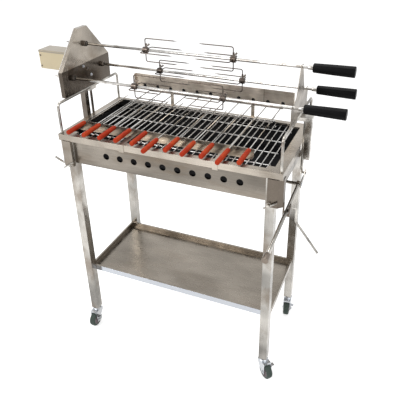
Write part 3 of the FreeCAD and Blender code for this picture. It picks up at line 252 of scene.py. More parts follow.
def brushed(name, colour, grain=(1, 90, 90), rough=(0.22, 0.4), stain=0.35, round_edge=0.0012,
            tint=STAIN_BROWN, patch=(1, 1, 1), wave=0.25, swing=0.45, sooty=None, zones=()):
    """Brushed stainless: fine grain along one axis, broad light and dark patches, brown handling
    stains and the slight waviness of thin sheet. It is black inside the sooty box, and each zone
    is a box with its own colour and share of the roughness, used for painted shade and highlights."""
    material, tree, shader = node_tree(name)
    fine = noise(tree, STEEL_GRAIN, grain, detail=6.0, rough=0.7)
    cloud = noise(tree, STEEL_CLOUD, patch, detail=2.5, shift=(3.1, 1.7, 0.4))
    stains = noise(tree, STEEL_STAIN, patch, detail=4.0, shift=(1.3, 4.1, 6.2))
    marks = noise(tree, STEEL_SMEAR, (1, 1.6, 1), detail=5.0, shift=(0.2, 5.3, 2.2))
    dents = noise(tree, STEEL_DENT, patch, detail=1.0, shift=(7.7, 0.9, 5.1))
    line = spread(tree, fine, 0.0, 1.0, 0.36, 0.64)
    dark = blended(tree, line, scaled(colour, 0.8 * (1 - swing)),
                   scaled(colour, 1.15 * (1 - swing)))
    light = blended(tree, line, scaled(colour, 0.85 * (1 + swing)),
                    scaled(colour, 1.12 * (1 + swing)))
    toned = blended(tree, spread(tree, cloud, 0.0, 1.0, 0.36, 0.62), dark, light)
    stains_and_painted_light = blended(tree, spread(tree, stains, 0.0, stain, 0.50, 0.68), toned, tint)
    roughness = spread(tree, marks, rough[0], rough[1], 0.35, 0.65)
    for low, high, shade, share, gloss in zones:
        here = within(tree, low, high)
        stains_and_painted_light = blended(tree, maths(tree, "MULTIPLY", here, share), stains_and_painted_light, shade)
        calm = maths(tree, "MULTIPLY", here, 1 - gloss)
        roughness = maths(tree, "MULTIPLY", roughness, maths(tree, "SUBTRACT", 1.0, calm))
    if sooty:
        soot_and_shade = within(tree, *sooty)
        stains_and_painted_light = blended(tree, soot_and_shade, stains_and_painted_light, SOOT)
        roughness = maths(tree, "MAXIMUM", roughness, maths(tree, "MULTIPLY", soot_and_shade, SOOT_ROUGH))
        tree.links.new(maths(tree, "SUBTRACT", 1.0, soot_and_shade), shader.inputs["Metallic"])
    else:
        shader.inputs["Metallic"].default_value = 1.0
    tree.links.new(stains_and_painted_light, shader.inputs["Base Color"])
    tree.links.new(roughness, shader.inputs["Roughness"])
    relief = maths(tree, "ADD", maths(tree, "MULTIPLY", dents, wave * DENT_SHARE), fine)
    bumped(tree, shader, relief, STEEL_RELIEF, round_edge=round_edge)
    return material


def paint(name, colour):
    """Satin paint with faint orange peel and a little dirt."""
    material, tree, shader = node_tree(name)
    peel = noise(tree, PAINT_PEEL, detail=2.0)
    dirt = noise(tree, PAINT_DIRT, detail=5.0, shift=(1.0, 2.0, 3.0))
    dirty = spread(tree, dirt, 0.0, 0.5, 0.5, 0.8)
    tree.links.new(blended(tree, dirty, colour, scaled(colour, 0.78)),
                   shader.inputs["Base Color"])
    shader.inputs["Coat Weight"].default_value = 0.25
    tree.links.new(spread(tree, dirt, 0.32, 0.48), shader.inputs["Roughness"])
    bumped(tree, shader, peel, 0.12, 0.0002, round_edge=0.0015)
    return material


def plastic(name, colour, rough=0.32, wear=0.15, shine=0.2):
    """Moulded plastic with a fine texture and paler rubbed patches."""
    material, tree, shader = node_tree(name)
    texture = noise(tree, PLASTIC_TEXTURE, detail=2.0)
    rubbed = noise(tree, PLASTIC_RUB, detail=5.0, shift=(4.0, 1.0, 2.0))
    pale = tuple(channel * 1.8 + 0.004 for channel in colour)
    tree.links.new(blended(tree, spread(tree, rubbed, 0.0, wear, 0.5, 0.75), colour, pale),
                   shader.inputs["Base Color"])
    shader.inputs["Specular IOR Level"].default_value = shine
    tree.links.new(spread(tree, rubbed, rough - 0.08, rough + 0.14), shader.inputs["Roughness"])
    bumped(tree, shader, texture, 0.18, 0.0001, round_edge=0.0008)
    return material


def lacquer(name, colour, worn, grain):
    """Red-lacquered turned wood: the grain shows faintly through the gloss."""
    material, tree, shader = node_tree(name)
    fibres = noise(tree, WOOD_FIBRE, grain, detail=5.0, rough=0.65)
    cloud = noise(tree, WOOD_CLOUD, detail=3.0, shift=(2.0, 0.0, 1.0))
    grained = blended(tree, spread(tree, fibres, 0.0, 0.5, 0.4, 0.7), colour, scaled(colour, 0.45))
    tree.links.new(blended(tree, spread(tree, cloud, 0.0, 0.6, 0.45, 0.7), grained, worn),
                   shader.inputs["Base Color"])
    shader.inputs["Specular IOR Level"].default_value = 0.12
    tree.links.new(spread(tree, fibres, 0.42, 0.58), shader.inputs["Roughness"])
    bumped(tree, shader, fibres, 0.15, 0.0003)
    return material


def inset(node, by, top):
    """The inner room of a node's box: its walls moved in by a distance, up to the height top."""
    low, high = (Vector(corner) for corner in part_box(node))
    return low + Vector((by, by, by)), Vector((high.x - by, high.y - by, top))


def zone(node, colour, share=1.0, gloss=1.0, **cut):
    """A slab of a node's box, cut from its low or high side along an axis: front=0.002 keeps the
    2 mm at -Y, back at +Y, left at -X, right at +X, foot at -Z, top at +Z."""
    low, high = (Vector(corner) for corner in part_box(node))
    edge = Vector((MM, MM, MM))
    box = {"low": low - edge, "high": high + edge}
    for side, deep in cut.items():
        axis = {"left": 0, "right": 0, "front": 1, "back": 1, "foot": 2, "top": 2}[side]
        if side in ("left", "front", "foot"):
            box["high"][axis] = low[axis] + deep
        else:
            box["low"][axis] = high[axis] - deep
    return box["low"], box["high"], colour, share, gloss


TUB_ROOM = inset("firebox", 0.9 * MM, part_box("firebox_rim")[1][2] - 0.9 * MM)
# The factors on STAINLESS below make lighter and darker copies of the one steel, each set to how
# brightly its sheet is lit: painted light and shade.
SHEET_TUB = brushed("firebox_sheet", scaled(STAINLESS, 0.62), grain=(1, 90, 90),
                    patch=(0.5, 0.5, 2), stain=0.5, swing=0.28, sooty=TUB_ROOM,
                    # painted shade: the top 24 mm of the front face darker, under the rim's lip
                    zones=[zone("firebox", PAINTED_SHADE, 0.5, front=2 * MM, top=24 * MM)])
SHEET_RIM = brushed("rim_sheet", scaled(STAINLESS, 1.12), grain=(1, 90, 90), rough=(0.2, 0.34),
                    stain=0.3, swing=0.2)
SHEET_REST = brushed("skewer_rest_sheet", scaled(STAINLESS, 1.1), grain=(1, 90, 90),
                     rough=(0.24, 0.4), stain=0.35, swing=0.3,
                     zones=[zone("skewer_rests", REST_BRIGHT, 0.7, 0.25, back=60 * MM)])
SHEET_WIND = brushed("windshield_sheet", scaled(STAINLESS, 1.75), grain=(1, 90, 90),
                     rough=(0.3, 0.46), stain=0.35, swing=0.3, patch=(1.6, 1.6, 3),
                     # painted shade: the right 121 mm of the windshield darker
                     zones=[zone("windshield", PAINTED_SHADE, 0.12, right=121 * MM)])
SHEET_FLAT = brushed("shelf_sheet", scaled(STAINLESS, 0.85), grain=(1, 90, 90), rough=(0.2, 0.34),
                     stain=0.2, patch=(0.5, 1, 1), wave=0.3, swing=0.22,
                     # painted highlight: the front edge lighter and glossier; painted shade: the
                     # back 3 mm darker
                     zones=[zone("storage_shelf", SHELF_PAINTED_HIGHLIGHT, 0.85, 0.6, front=0.5 * MM),
                            zone("storage_shelf", PAINTED_SHADE, 0.3, back=3 * MM)])
RIGHT_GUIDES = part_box("corner_guides")[1][0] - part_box("legs")[1][0] + 45 * MM
SHEET_GUIDE = brushed("guide_sheet", scaled(STAINLESS, 0.8), grain=(90, 90, 1), stain=0.5,
                      patch=(1, 1, 2), swing=0.3,
                      # painted shade: the right-hand guides and the left 60 mm of the guides
                      # darker
                      zones=[zone("corner_guides", PAINTED_SHADE, 0.85, right=RIGHT_GUIDES),
                             zone("corner_guides", PAINTED_SHADE, 0.25, left=60 * MM)])
SHEET_SIDE = brushed("spit_support_sheet", scaled(STAINLESS, 0.8), grain=(90, 90, 1),
                     rough=(0.26, 0.42), stain=0.35, swing=0.3, patch=(2, 2, 3))
SHEET_CASE = brushed("gear_cover_sheet", COVER_STEEL, grain=(90, 90, 2), stain=0.15,
                     swing=0.15)
TUBE_Z = brushed("tube_grain_z", POLISHED, grain=(90, 90, 1), rough=(0.16, 0.32), stain=0.6,
                 patch=(1.5, 1.5, 1.2), swing=0.4)
ROD = brushed("drawn_rod", scaled(POLISHED, 1.2), grain=(60, 60, 60), rough=(0.1, 0.22), stain=0.5,
              round_edge=0.0, patch=(4, 4, 4), swing=0.5)
LEVER = brushed("lever_tube", scaled(POLISHED, 1.5), grain=(60, 3, 3), rough=(0.08, 0.16),
                stain=0.3, round_edge=0.0, swing=0.4)
LIFT = brushed("lift_frame_left_steel", scaled(POLISHED, 1.1), grain=(60, 60, 60),
               rough=(0.1, 0.22), stain=0.5, round_edge=0.0, patch=(4, 4, 4), swing=0.4,
               # painted shade: the post at the left end darker
               zones=[zone("lift_frame_left", PAINTED_SHADE, 0.85, left=44 * MM)])
SPIT = brushed("spit_bar", SPIT_STEEL, grain=(1, 80, 80), rough=(0.06, 0.16), stain=0.55,
               round_edge=0.0, wave=0.0, patch=(3, 1, 1), swing=0.4)
FORK = brushed("fork_wire", FORK_STEEL, grain=(60, 60, 60), rough=(0.2, 0.36), stain=0.3,
               round_edge=0.0, wave=0.0)
GRATE = brushed("grate_wire", WIRE, grain=(60, 60, 60), rough=(0.2, 0.36), stain=0.2,
                round_edge=0.0, wave=0.0, swing=0.3)
RACK = brushed("rack_wire", RACK_STEEL, grain=(60, 60, 60), rough=(0.26, 0.42), stain=0.3,
               round_edge=0.0, wave=0.0)
# painted reflection: the lower 42 % of the gear plate darker
PLATE_SHADE_HIGH = 0.42 * (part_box("gear_plate")[1][2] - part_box("gear_plate")[0][2])
PLATE = brushed("gear_plate_sheet", STAINLESS, grain=(90, 90, 2), rough=(0.16, 0.3),
                stain=0.45, patch=(1, 1, 1.2), swing=0.35,
                zones=[zone("gear_plate", scaled(PAINTED_SHADE, 0.7), 0.9, foot=PLATE_SHADE_HIGH)])
# black: real char on the charcoal tray, painted shade in the motor's vent slots and behind the
# windshield's holes, and the dark lap line
CHAR_AND_SHADE = plastic("charred_and_shaded_sheet", SOOT, rough=0.8, wear=0.25)
GEARS = brushed("machined_gear", GEAR_STEEL, grain=(60, 60, 60), rough=(0.3, 0.5))
ZINCED = brushed("zinc_plate", ZINC, grain=(40, 40, 40), rough=(0.22, 0.4), stain=0.25,
                 tint=ZINC_STAIN, round_edge=0.0006, wave=0.05, swing=0.25)
TINTED = brushed("heat_tinted_weld", HEAT_TINT, grain=(50, 50, 50), rough=(0.3, 0.55), stain=0.5)
CREAM_PAINT = paint("cream_paint", CREAM)
# painted shade and reflection on the motor box's top
TOP_SHADE_PAINT = paint("cream_top_painted_shade", CREAM_PAINTED_SHADE)
GRIP = plastic("black_grip", BLACK_GRIP, rough=0.36, shine=0.08)
HUB = plastic("caster_hub", HUB_GREY, rough=0.45)
TYRE = plastic("caster_tyre", GREY_TYRE, rough=0.55, wear=0.3)
RED = lacquer("red_lacquer", RED_LACQUER, RED_WORN, grain=(8, 1, 8))


def dress(material, *names):
    for name in names:
        for slot in NODES[name].material_slots:
            slot.link = "OBJECT"
            slot.material = material


def dress_all():
    dress(TUBE_Z, "legs")
    dress(ROD, "lift_frame_right", "lift_shaft", "lock_pin_left", "lock_pin_right",
          "clamp_screws")
    dress(LEVER, "lift_lever")
    dress(LIFT, "lift_frame_left")
    dress(SHEET_TUB, "firebox")
    dress(SHEET_RIM, "firebox_rim")
    dress(SHEET_GUIDE, "corner_guides")
    dress(SHEET_REST, "skewer_rests")
    dress(SHEET_WIND, "windshield")
    dress(SHEET_SIDE, "spit_support")
    dress(SHEET_FLAT, "storage_shelf")
    dress(CHAR_AND_SHADE, "charcoal_tray")
    dress(SHEET_CASE, "gear_cover")
    dress(PLATE, "gear_plate")
    dress(GRATE, "grill_grate")
    dress(RACK, "warming_rack")
    dress(CREAM_PAINT, "motor_housing")
    dress(GEARS, "drive_gear")
    for name in SPITS:
        dress(SPIT, f"spit_{name}")
        dress(FORK, f"fork_{name}_left", f"fork_{name}_right")
        dress(GEARS, f"spit_gear_{name}")
        dress(GRIP, f"spit_handle_{name}")
    for name in SKEWERS:
        dress(RED, name)
    for name in CASTERS:
        dress(ZINCED, f"caster_fork_{name}", f"caster_brake_{name}")
        dress(TYRE, f"caster_wheel_{name}")


# ---------------------------------------------------------------- shapes
def corners(node):
    low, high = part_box(node)
    return Vector(low), Vector(high)


def join(shape, first, second):
    """Faces between two rings of corners; a ring of one corner is a point."""
    count = max(len(first), len(second))
    for index in range(count):
        after = (index + 1) % count
        if len(first) == 1:
            shape.faces.new((first[0], second[after], second[index]))
        elif len(second) == 1:
            shape.faces.new((first[index], first[after], second[0]))
        else:
            shape.faces.new((first[index], first[after], second[after], second[index]))


def sweep(shape, path, radii, sides=12):
    """A round skin along a path with a radius at every point, closed at both ends."""
    tangent = (path[1] - path[0]).normalized()
    across = tangent.orthogonal().normalized()
    rings = []
    for index, point in enumerate(path):
        before = path[max(index - 1, 0)]
        after = path[min(index + 1, len(path) - 1)]
        tangent = (after - before).normalized()
        across = (across - tangent * across.dot(tangent)).normalized()
        up = tangent.cross(across)
        turns = (math.tau * k / sides for k in range(sides))
        rings.append([shape.verts.new(point + (across * math.cos(a) + up * math.sin(a))
                                      * radii[index]) for a in turns])
    for first, second in zip(rings, rings[1:]):
        join(shape, first, second)
    shape.faces.new(rings[0][::-1])
    shape.faces.new(rings[-1])


def rounded(points, radius):
    """A path whose inner corners are arcs."""
    steps = 6
    path = [points[0]]
    for before, corner, after in zip(points, points[1:], points[2:]):
        arrive, leave = (corner - before).normalized(), (after - corner).normalized()
        turn = arrive.angle(leave)
        centre = corner + (leave - arrive).normalized() * (radius / math.cos(turn / 2))
        spoke = corner - arrive * (radius * math.tan(turn / 2)) - centre
        axis = arrive.cross(leave).normalized()
        path += [centre + Matrix.Rotation(turn * k / steps, 3, axis) @ spoke
                 for k in range(steps + 1)]
    path.append(points[-1])
    return path


def rod(shape, path, radius, sides=12, head=None, tail=None):
    """A round rod; head and tail are the (length, radius) of its tapered ends."""
    head = head or (radius * 0.4, radius * 0.6)
    tail = tail or (radius * 0.4, radius * 0.6)
    first, last = (path[1] - path[0]).normalized(), (path[-1] - path[-2]).normalized()
    places = [path[0], path[0] + first * head[0], *path[1:-1],
              path[-1] - last * tail[0], path[-1]]
    sweep(shape, places, [head[1]] + [radius] * (len(places) - 2) + [tail[1]], sides)


def lathe(shape, profile, at, axis, sides=32, cross=None):
    """Turns (along, radius) points about an axis through a point; cross(angle) scales the
    radius."""
    aim = axis.normalized()
    turn = aim.to_track_quat("Z", "Y")
    rings = []
    for along, radius in profile:
        if radius == 0:
            rings.append([shape.verts.new(at + aim * along)])
            continue
        ring = []
        for index in range(sides):
            angle = math.tau * index / sides
            reach = radius * (cross(angle) if cross else 1.0)
            ring.append(shape.verts.new(at + aim * along + turn @ Vector(
                (reach * math.cos(angle), reach * math.sin(angle), 0))))
        rings.append(ring)
    for first, second in zip(rings, rings[1:]):
        join(shape, first, second)


def block(shape, low, high, bevel=0.4 * MM, turn=None):
    """A box between two corners with bevelled edges, turned about its middle. Swept and turned
    parts of a shape come before it: after its bevel, their faces took no fixed order."""
    middle, size = (low + high) / 2, high - low
    place = Matrix.Translation(middle) @ (turn.to_4x4() if turn else Matrix()) @ Matrix.Diagonal(
        (*size, 1.0))
    made = bmesh.ops.create_cube(shape, size=1.0, matrix=place)
    edges = {edge for vert in made["verts"] for edge in vert.link_edges}
    bmesh.ops.bevel(shape, geom=list(edges), offset=bevel, segments=2, affect="EDGES")


def bolt(shape, at, axis, across, high):
    """A hexagon head on a washer, standing on a face at a point."""
    radius, thick = across / 2, 0.8 * MM
    washer = radius * 1.35
    lathe(shape, [(0, 0), (0, washer), (thick, washer), (thick, 0)], at, axis, 24)
    top = high + thick / 2
    lathe(shape, [(thick, 0), (thick, radius), (high, radius), (top, radius * 0.84), (top, 0)],
          at, axis, 6)


def screw(shape, at, axis, radius):
    """A low round head with a drive hollow."""
    lathe(shape, [(0, 0), (0, radius), (radius * 0.25, radius * 0.94),
                  (radius * 0.5, radius * 0.6), (radius * 0.5, radius * 0.38),
                  (radius * 0.12, radius * 0.3), (radius * 0.12, 0)], at, axis, 20)


def bead(shape, start, end, radius=1.3 * MM):
    """A rippled weld bead between two points."""
    count = max(4, round((end - start).length / (1.5 * radius)))
    path = [start.lerp(end, k / count) for k in range(count + 1)]
    swell = [radius * (1.0 if k % 2 else 0.78) for k in range(count + 1)]
    swell[0] = swell[-1] = radius * 0.3
    sweep(shape, path, swell, 8)


def piece(name, shape, material, body, *stands_for, crease=32):
    """Makes an object of a finished shape: smooth within the crease angle, riding on its body, in
    place of the nodes it stands for."""
    bmesh.ops.recalc_face_normals(shape, faces=shape.faces)
    for face in shape.faces:
        face.smooth = True
    for edge in shape.edges:
        edge.smooth = len(edge.link_faces) == 2 and edge.calc_face_angle() < math.radians(crease)
    mesh = bpy.data.meshes.new(name)
    shape.to_mesh(mesh)
    shape.free()
    mesh.materials.append(material)
    thing = bpy.data.objects.new(name, mesh)
    bpy.context.collection.objects.link(thing)
    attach(thing, body)
    if stands_for:
        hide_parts(*stands_for)


# ---------------------------------------------------------------- grate and rack
def grate():
    """Round wires over cross rods, with a weld spot at every crossing."""
    low, high = corners("grill_grate")
    wire = (high.z - low.z) / 4
    shape, spots = bmesh.new(), bmesh.new()
    first, step = low.x + GRATE_END, (high.x - low.x - 2 * GRATE_END) / (GRATE_BARS - 1)
    cross_first = low.y + CROSS_INSET
    cross_step = (high.y - low.y - 2 * CROSS_INSET) / (GRATE_RODS - 1)
    for index in range(GRATE_BARS):
        x, z = first + step * index, high.z - wire
        rod(shape, [Vector((x, low.y, z)), Vector((x, high.y, z))], wire, 10)
        for cross in range(GRATE_RODS):
            spot = Vector((x, cross_first + cross_step * cross, low.z + wire * 2))
            lathe(spots, [(-0.5 * wire, 0), (-0.4 * wire, wire), (0.4 * wire, wire),
                          (0.5 * wire, 0)], spot, Z, 8)
    for cross in range(GRATE_RODS):
        y, z = cross_first + cross_step * cross, low.z + wire
        rod(shape, [Vector((low.x, y, z)), Vector((high.x, y, z))], wire, 10)
    piece("grate_wires", shape, GRATE, "frame", "grill_grate")
    piece("grate_weld_spots", spots, TINTED, "frame")


def rack():
    """Thin round wires over two stouter cross rods."""
    low, high = corners("warming_rack")
    wire = (high.z - low.z) / 4
    shape = bmesh.new()
    first, step = low.x + wire * 4, (high.x - low.x - wire * 8) / (RACK_BARS - 1)
    for index in range(RACK_BARS):
        x, z = first + step * index, high.z - wire
        rod(shape, [Vector((x, low.y, z)), Vector((x, high.y, z))], wire * 0.9, 10)
    for y in (low.y + wire * 2, high.y - wire * 2):
        rod(shape, [Vector((low.x, y, low.z + wire)), Vector((high.x, y, low.z + wire))], wire, 12)
    piece("rack_wires", shape, RACK, "frame", "warming_rack")


# ---------------------------------------------------------------- spits, handles and forks
def spit_line(name):
    """The corners of a spit's box and its axis as (y, z)."""
    low, high = corners(f"spit_{name}")
    return low, high, (low.y + high.y) / 2, (low.z + high.z) / 2


def spit(name):
    """A round bar with a shoulder, a square drive tang, a centre point and a steel collar."""
    low, high, y, z = spit_line(name)
    radius = (high.y - low.y) / 2
    tang_from, tang_to = low.x + TANG_FROM, low.x + TANG_TO
    shape = bmesh.new()
    rod(shape, [Vector((tang_to, y, z)), Vector((high.x, y, z))], radius, 28,
        head=(1.5 * MM, radius * 0.82))
    point = TANG_HALF * 0.98
    lathe(shape, [(0, 0.6 * MM), (13.8 * MM, point), (14.4 * MM, point)],
          Vector((low.x, y, z)), X, 4)
    block(shape, Vector((tang_from, y - TANG_HALF, z - TANG_HALF)),
          Vector((tang_to, y + TANG_HALF, z + TANG_HALF)))
    piece(f"spit_bar_{name}", shape, SPIT, f"spit_{name}", f"spit_{name}")
    grip_from = corners(f"spit_handle_{name}")[0].x
    collar = bmesh.new()
    lathe(collar, [(-17 * MM, radius), (-17 * MM, radius * 1.25), (-15 * MM, radius * 1.4),
                   (-1.2 * MM, radius * 1.4), (-1.2 * MM, radius)],
          Vector((grip_from, y, z)), X, 28)
    piece(f"spit_collar_{name}", collar, SPIT, f"spit_{name}")


def handle(name):
    """A tapered black grip with eight softened flats, a rounded nose and a dished flat end."""
    low, high = corners(f"spit_handle_{name}")
    y, z, long = (low.y + high.y) / 2, (low.z + high.z) / 2, high.x - low.x
    thick = (high.y - low.y) / 2
    thin = thick * 0.84
    quarter = math.pi / 8

    def flats(angle):
        """Half way between a circle and the octagon inside it."""
        facet = math.cos(quarter) / math.cos((angle % (2 * quarter)) - quarter)
        return (1 + facet) / 2

    shape = bmesh.new()
    profile = [(0, 0), (0, thin * 0.84), (0.7 * MM, thin * 0.92), (2.2 * MM, thin * 0.98),
               (6 * MM, thin), (long * 0.5, thick * 0.93), (long - 4 * MM, thick * 0.995),
               (long - 1.6 * MM, thick * 0.99), (long - 0.4 * MM, thick * 0.94),
               (long, thick * 0.86), (long - 0.8 * MM, thick * 0.5), (long - 0.8 * MM, 0)]
    lathe(shape, profile, Vector((low.x, y, z)), X, 64, flats)
    piece(f"handle_grip_{name}", shape, GRIP, f"spit_{name}", f"spit_handle_{name}", crease=24)


def fork(spit_name, side):
    """A turned hub, four bent round prongs with ground points, and a wing screw."""
    node = f"fork_{spit_name}_{side}"
    low, high = corners(node)
    _, _, y, z = spit_line(spit_name)
    aim = 1 if side == "left" else -1
    at = Vector((low.x if side == "left" else high.x, y, z)) + X * (HUB_HALF * aim)
    reach, wire = (high.z - low.z) / 2, PRONG_WIRE
    shape = bmesh.new()
    hub, half = HUB_RADIUS, HUB_HALF
    lathe(shape, [(-half, HUB_BORE), (-half, hub * 0.86), (-half + 1.4 * MM, hub),
                  (-2.6 * MM, hub), (-2 * MM, hub * 0.93), (2 * MM, hub * 0.93),
                  (2.6 * MM, hub), (half - 1.4 * MM, hub), (half, hub * 0.86),
                  (half, HUB_BORE), (-half, HUB_BORE)], at, X, 32)
    for quarter in range(4):
        out = Matrix.Rotation(quarter * math.pi / 2, 3, "X") @ Z
        corner = at + out * (reach - wire)
        bent = [at + out * (hub * 0.8), corner, corner + X * (aim * PRONG_LONG)]
        rod(shape, rounded(bent, PRONG_BEND), wire, 12, tail=(PRONG_POINT, 0.25 * MM))
        lathe(shape, [(hub * 0.85, wire * 1.9), (hub * 1.1, wire * 1.3), (hub * 1.3, wire)],
              at, out, 14)
    piece(f"meat_fork_{spit_name}_{side}", shape, FORK, node, node)
    wing = bmesh.new()
    tilt = Matrix.Rotation(math.radians(WING_TILT), 3, "X")
    up = tilt @ Z
    rod(wing, [at + up * (hub * 0.8), at + up * (21 * MM)], 2.4 * MM, 16)
    for sign in (-1, 1):
        middle = at + up * (22 * MM) + X * (5 * MM * sign)
        size = Vector((3.6, 0.8, 4.6)) * MM
        block(wing, middle - size, middle + size, 0.6 * MM,
              tilt @ Matrix.Rotation(math.radians(WING_SPLAY * sign), 3, "Y"))
    piece(f"wing_screw_{spit_name}_{side}", wing, GEARS, node)


# ---------------------------------------------------------------- hand skewers
def hand_skewer(node):
    """A ground square blade, a dark ferrule and a turned grip with a domed end."""
    low, high = corners(node)
    x, z = (low.x + high.x) / 2, (low.z + high.z) / 2
    half, thick = BLADE_HALF, (high.x - low.x) / 2
    grip_to, point = low.y + GRIP_LONG, high.y - BLADE_POINT
    blade = bmesh.new()
    lathe(blade, [(0, half * 1.37), (11.8 * MM, 0.2 * MM)], Vector((x, point, z)), Y, 4)
    block(blade, Vector((x - half, grip_to + 4 * MM, z - half)),
          Vector((x + half, point, z + half)), 0.35 * MM)
    piece(f"blade_of_{node}", blade, SPIT, node)
    cap = bmesh.new()
    lathe(cap, [(-6 * MM, 4.6 * MM), (0, 4.4 * MM), (4.5 * MM, 3.6 * MM), (4.9 * MM, 2.2 * MM)],
          Vector((x, grip_to, z)), Y, 24)
    piece(f"ferrule_of_{node}", cap, GEARS, node)
    grip = bmesh.new()
    long = grip_to - low.y
    lathe(grip, [(0, 0), (0.15 * MM, thick * 0.45), (1 * MM, thick * 0.72),
                 (2.8 * MM, thick * 0.9), (6 * MM, thick * 0.985), (14 * MM, thick),
                 (long * 0.6, thick * 0.99),
                 (long - 12 * MM, thick * 0.95), (long - 4 * MM, thick * 0.88),
                 (long - 1 * MM, thick * 0.78), (long, thick * 0.6), (long, 0)],
          Vector((x, low.y, z)), Y, 40)
    piece(f"grip_of_{node}", grip, RED, node, node)


# ---------------------------------------------------------------- gear case and motor
def gear_case_details():
    """Two bolts on the plate, a ring on each gear hub, and weld beads at the foot."""
    low, high = corners("gear_plate")
    middle = (low.y + high.y) / 2
    shape = bmesh.new()
    for aside, drop in CASE_BOLTS:
        bolt(shape, Vector((high.x, middle + aside, high.z - drop)), X, 9 * MM, 3.6 * MM)
    piece("case_bolts", shape, ZINCED, "lift_left")
    for name in SPITS:
        _, _, y, z = spit_line(name)
        hub_end = corners(f"spit_gear_{name}")[1].x
        ring = bmesh.new()
        lathe(ring, [(-2.6 * MM, 6.2 * MM), (-2.6 * MM, 10 * MM), (-1.8 * MM, 10.6 * MM),
                     (-0.6 * MM, 10.2 * MM), (0, 9 * MM), (0, 6.2 * MM), (-2.6 * MM, 6.2 * MM)],
              Vector((hub_end, y, z)), X, 32)
        piece(f"hub_ring_{name}", ring, GEARS, f"spit_{name}")
    seam = bmesh.new()
    foot = low.z + 1 * MM
    for x in (low.x + 2 * MM, high.x - 2 * MM):
        for y in (middle + aside for aside in CASE_WELDS):
            bead(seam, Vector((x, y - WELD_HALF, foot)), Vector((x, y + WELD_HALF, foot)))
    piece("case_foot_welds", seam, TINTED, "lift_left")


def motor_details():
    """A darker sheet on the top of the motor box as painted shade and reflection, its screws, and
    the vent slots in its outer end as black blocks of painted shade.
    """
    low, high = corners("motor_housing")
    low.z = high.z - MOTOR_HIGH
    # a darker sheet over the top: painted shade and reflection
    shade_sheet = bmesh.new()
    block(shade_sheet, Vector((low.x - 0.3 * MM, low.y - SHADE_SHEET_OVER, high.z - SHADE_SHEET_HIGH)),
          Vector((high.x - 4 * MM, high.y + SHADE_SHEET_OVER, high.z + SHADE_SHEET_OVER)), 2.2 * MM)
    piece("motor_top_painted_shade", shade_sheet, TOP_SHADE_PAINT, "lift_left")
    shape = bmesh.new()
    for x in (low.x + 9 * MM, high.x - 12 * MM):
        for z in (low.z + 12 * MM, high.z - 20 * MM):
            for y, aim in ((low.y, -Y), (high.y, Y)):
                screw(shape, Vector((x, y, z)), aim, 3.4 * MM)
    piece("motor_screws", shape, GEARS, "lift_left")
    # black blocks stand for the vent slots: painted shade of their openings
    vents = bmesh.new()
    for index in range(VENTS):
        y = low.y + (VENT_FIRST + VENT_STEP * index) * MM
        block(vents, Vector((low.x - 0.3 * MM, y - 1.4 * MM, low.z + 22 * MM)),
              Vector((low.x + 0.6 * MM, y + 1.4 * MM, low.z + 48 * MM)), 0.25 * MM)
    piece("motor_vent_shade", vents, CHAR_AND_SHADE, "lift_left")


# ---------------------------------------------------------------- lift
def lift_details():
    """Weld beads where the posts meet their brackets, and bolts in the cross shaft's ends."""
    for side in ("left", "right"):
        low, high = corners(f"lift_frame_{side}")
        sign = 1 if side == "right" else -1
        outer = high.x if side == "right" else low.x
        under = high.z - BRACKET_HIGH
        shape = bmesh.new()
        middle = (low.y + high.y) / 2 + POST_SHIFT
        for y in (middle - POST_HALF, middle + POST_HALF):
            bead(shape, Vector((outer - sign * 21 * MM, y, under)),
                 Vector((outer - sign * 1 * MM, y, under)), 1.1 * MM)
        piece(f"post_welds_{side}", shape, TINTED, f"lift_{side}")
    low, high = corners("lift_shaft")
    shape = bmesh.new()
    y, z = low.y + SHAFT_MIDDLE, low.z + SHAFT_MIDDLE
    for x, aim in ((low.x, -X), (high.x, X)):
        bolt(shape, Vector((x, y, z)), aim, 10 * MM, 2.6 * MM)
    piece("shaft_end_bolts", shape, ZINCED, "lift_lever")


def lever():
    """A drawn tube with a knurled end sleeve and a turned hub on the cross shaft."""
    low, high = corners("lift_lever")
    x = (low.x + high.x) / 2
    slope = math.radians(LEVER_SLOPE)
    back = Vector((0, math.cos(slope), math.sin(slope)))
    hub = Vector((x, high.y - LEVER_HUB, high.z - LEVER_HUB))
    end = hub - back * LEVER_LONG
    shape = bmesh.new()
    rod(shape, [hub - back * (9 * MM), end + back * (8 * MM)], LEVER_RADIUS, 28)
    lathe(shape, [(-7 * MM, 6.05 * MM), (-7 * MM, 10 * MM), (-6 * MM, LEVER_HUB),
                  (6 * MM, LEVER_HUB), (7 * MM, 10 * MM), (7 * MM, 6.05 * MM),
                  (-7 * MM, 6.05 * MM)], hub, X, 36)
    piece("lever_tube", shape, LEVER, "lift_lever", "lift_lever")
    sleeve = bmesh.new()
    lathe(sleeve, [(0, 0), (0, 9.4 * MM), (1.2 * MM, 10.8 * MM), (26 * MM, 10.8 * MM),
                   (30 * MM, 9.4 * MM), (34 * MM, 6.6 * MM)], end, back, 36,
          lambda angle: 1.0 + SLEEVE_RIDGE * math.cos(SLEEVE_RIDGES * angle))
    piece("lever_sleeve", sleeve, GEARS, "lift_lever")


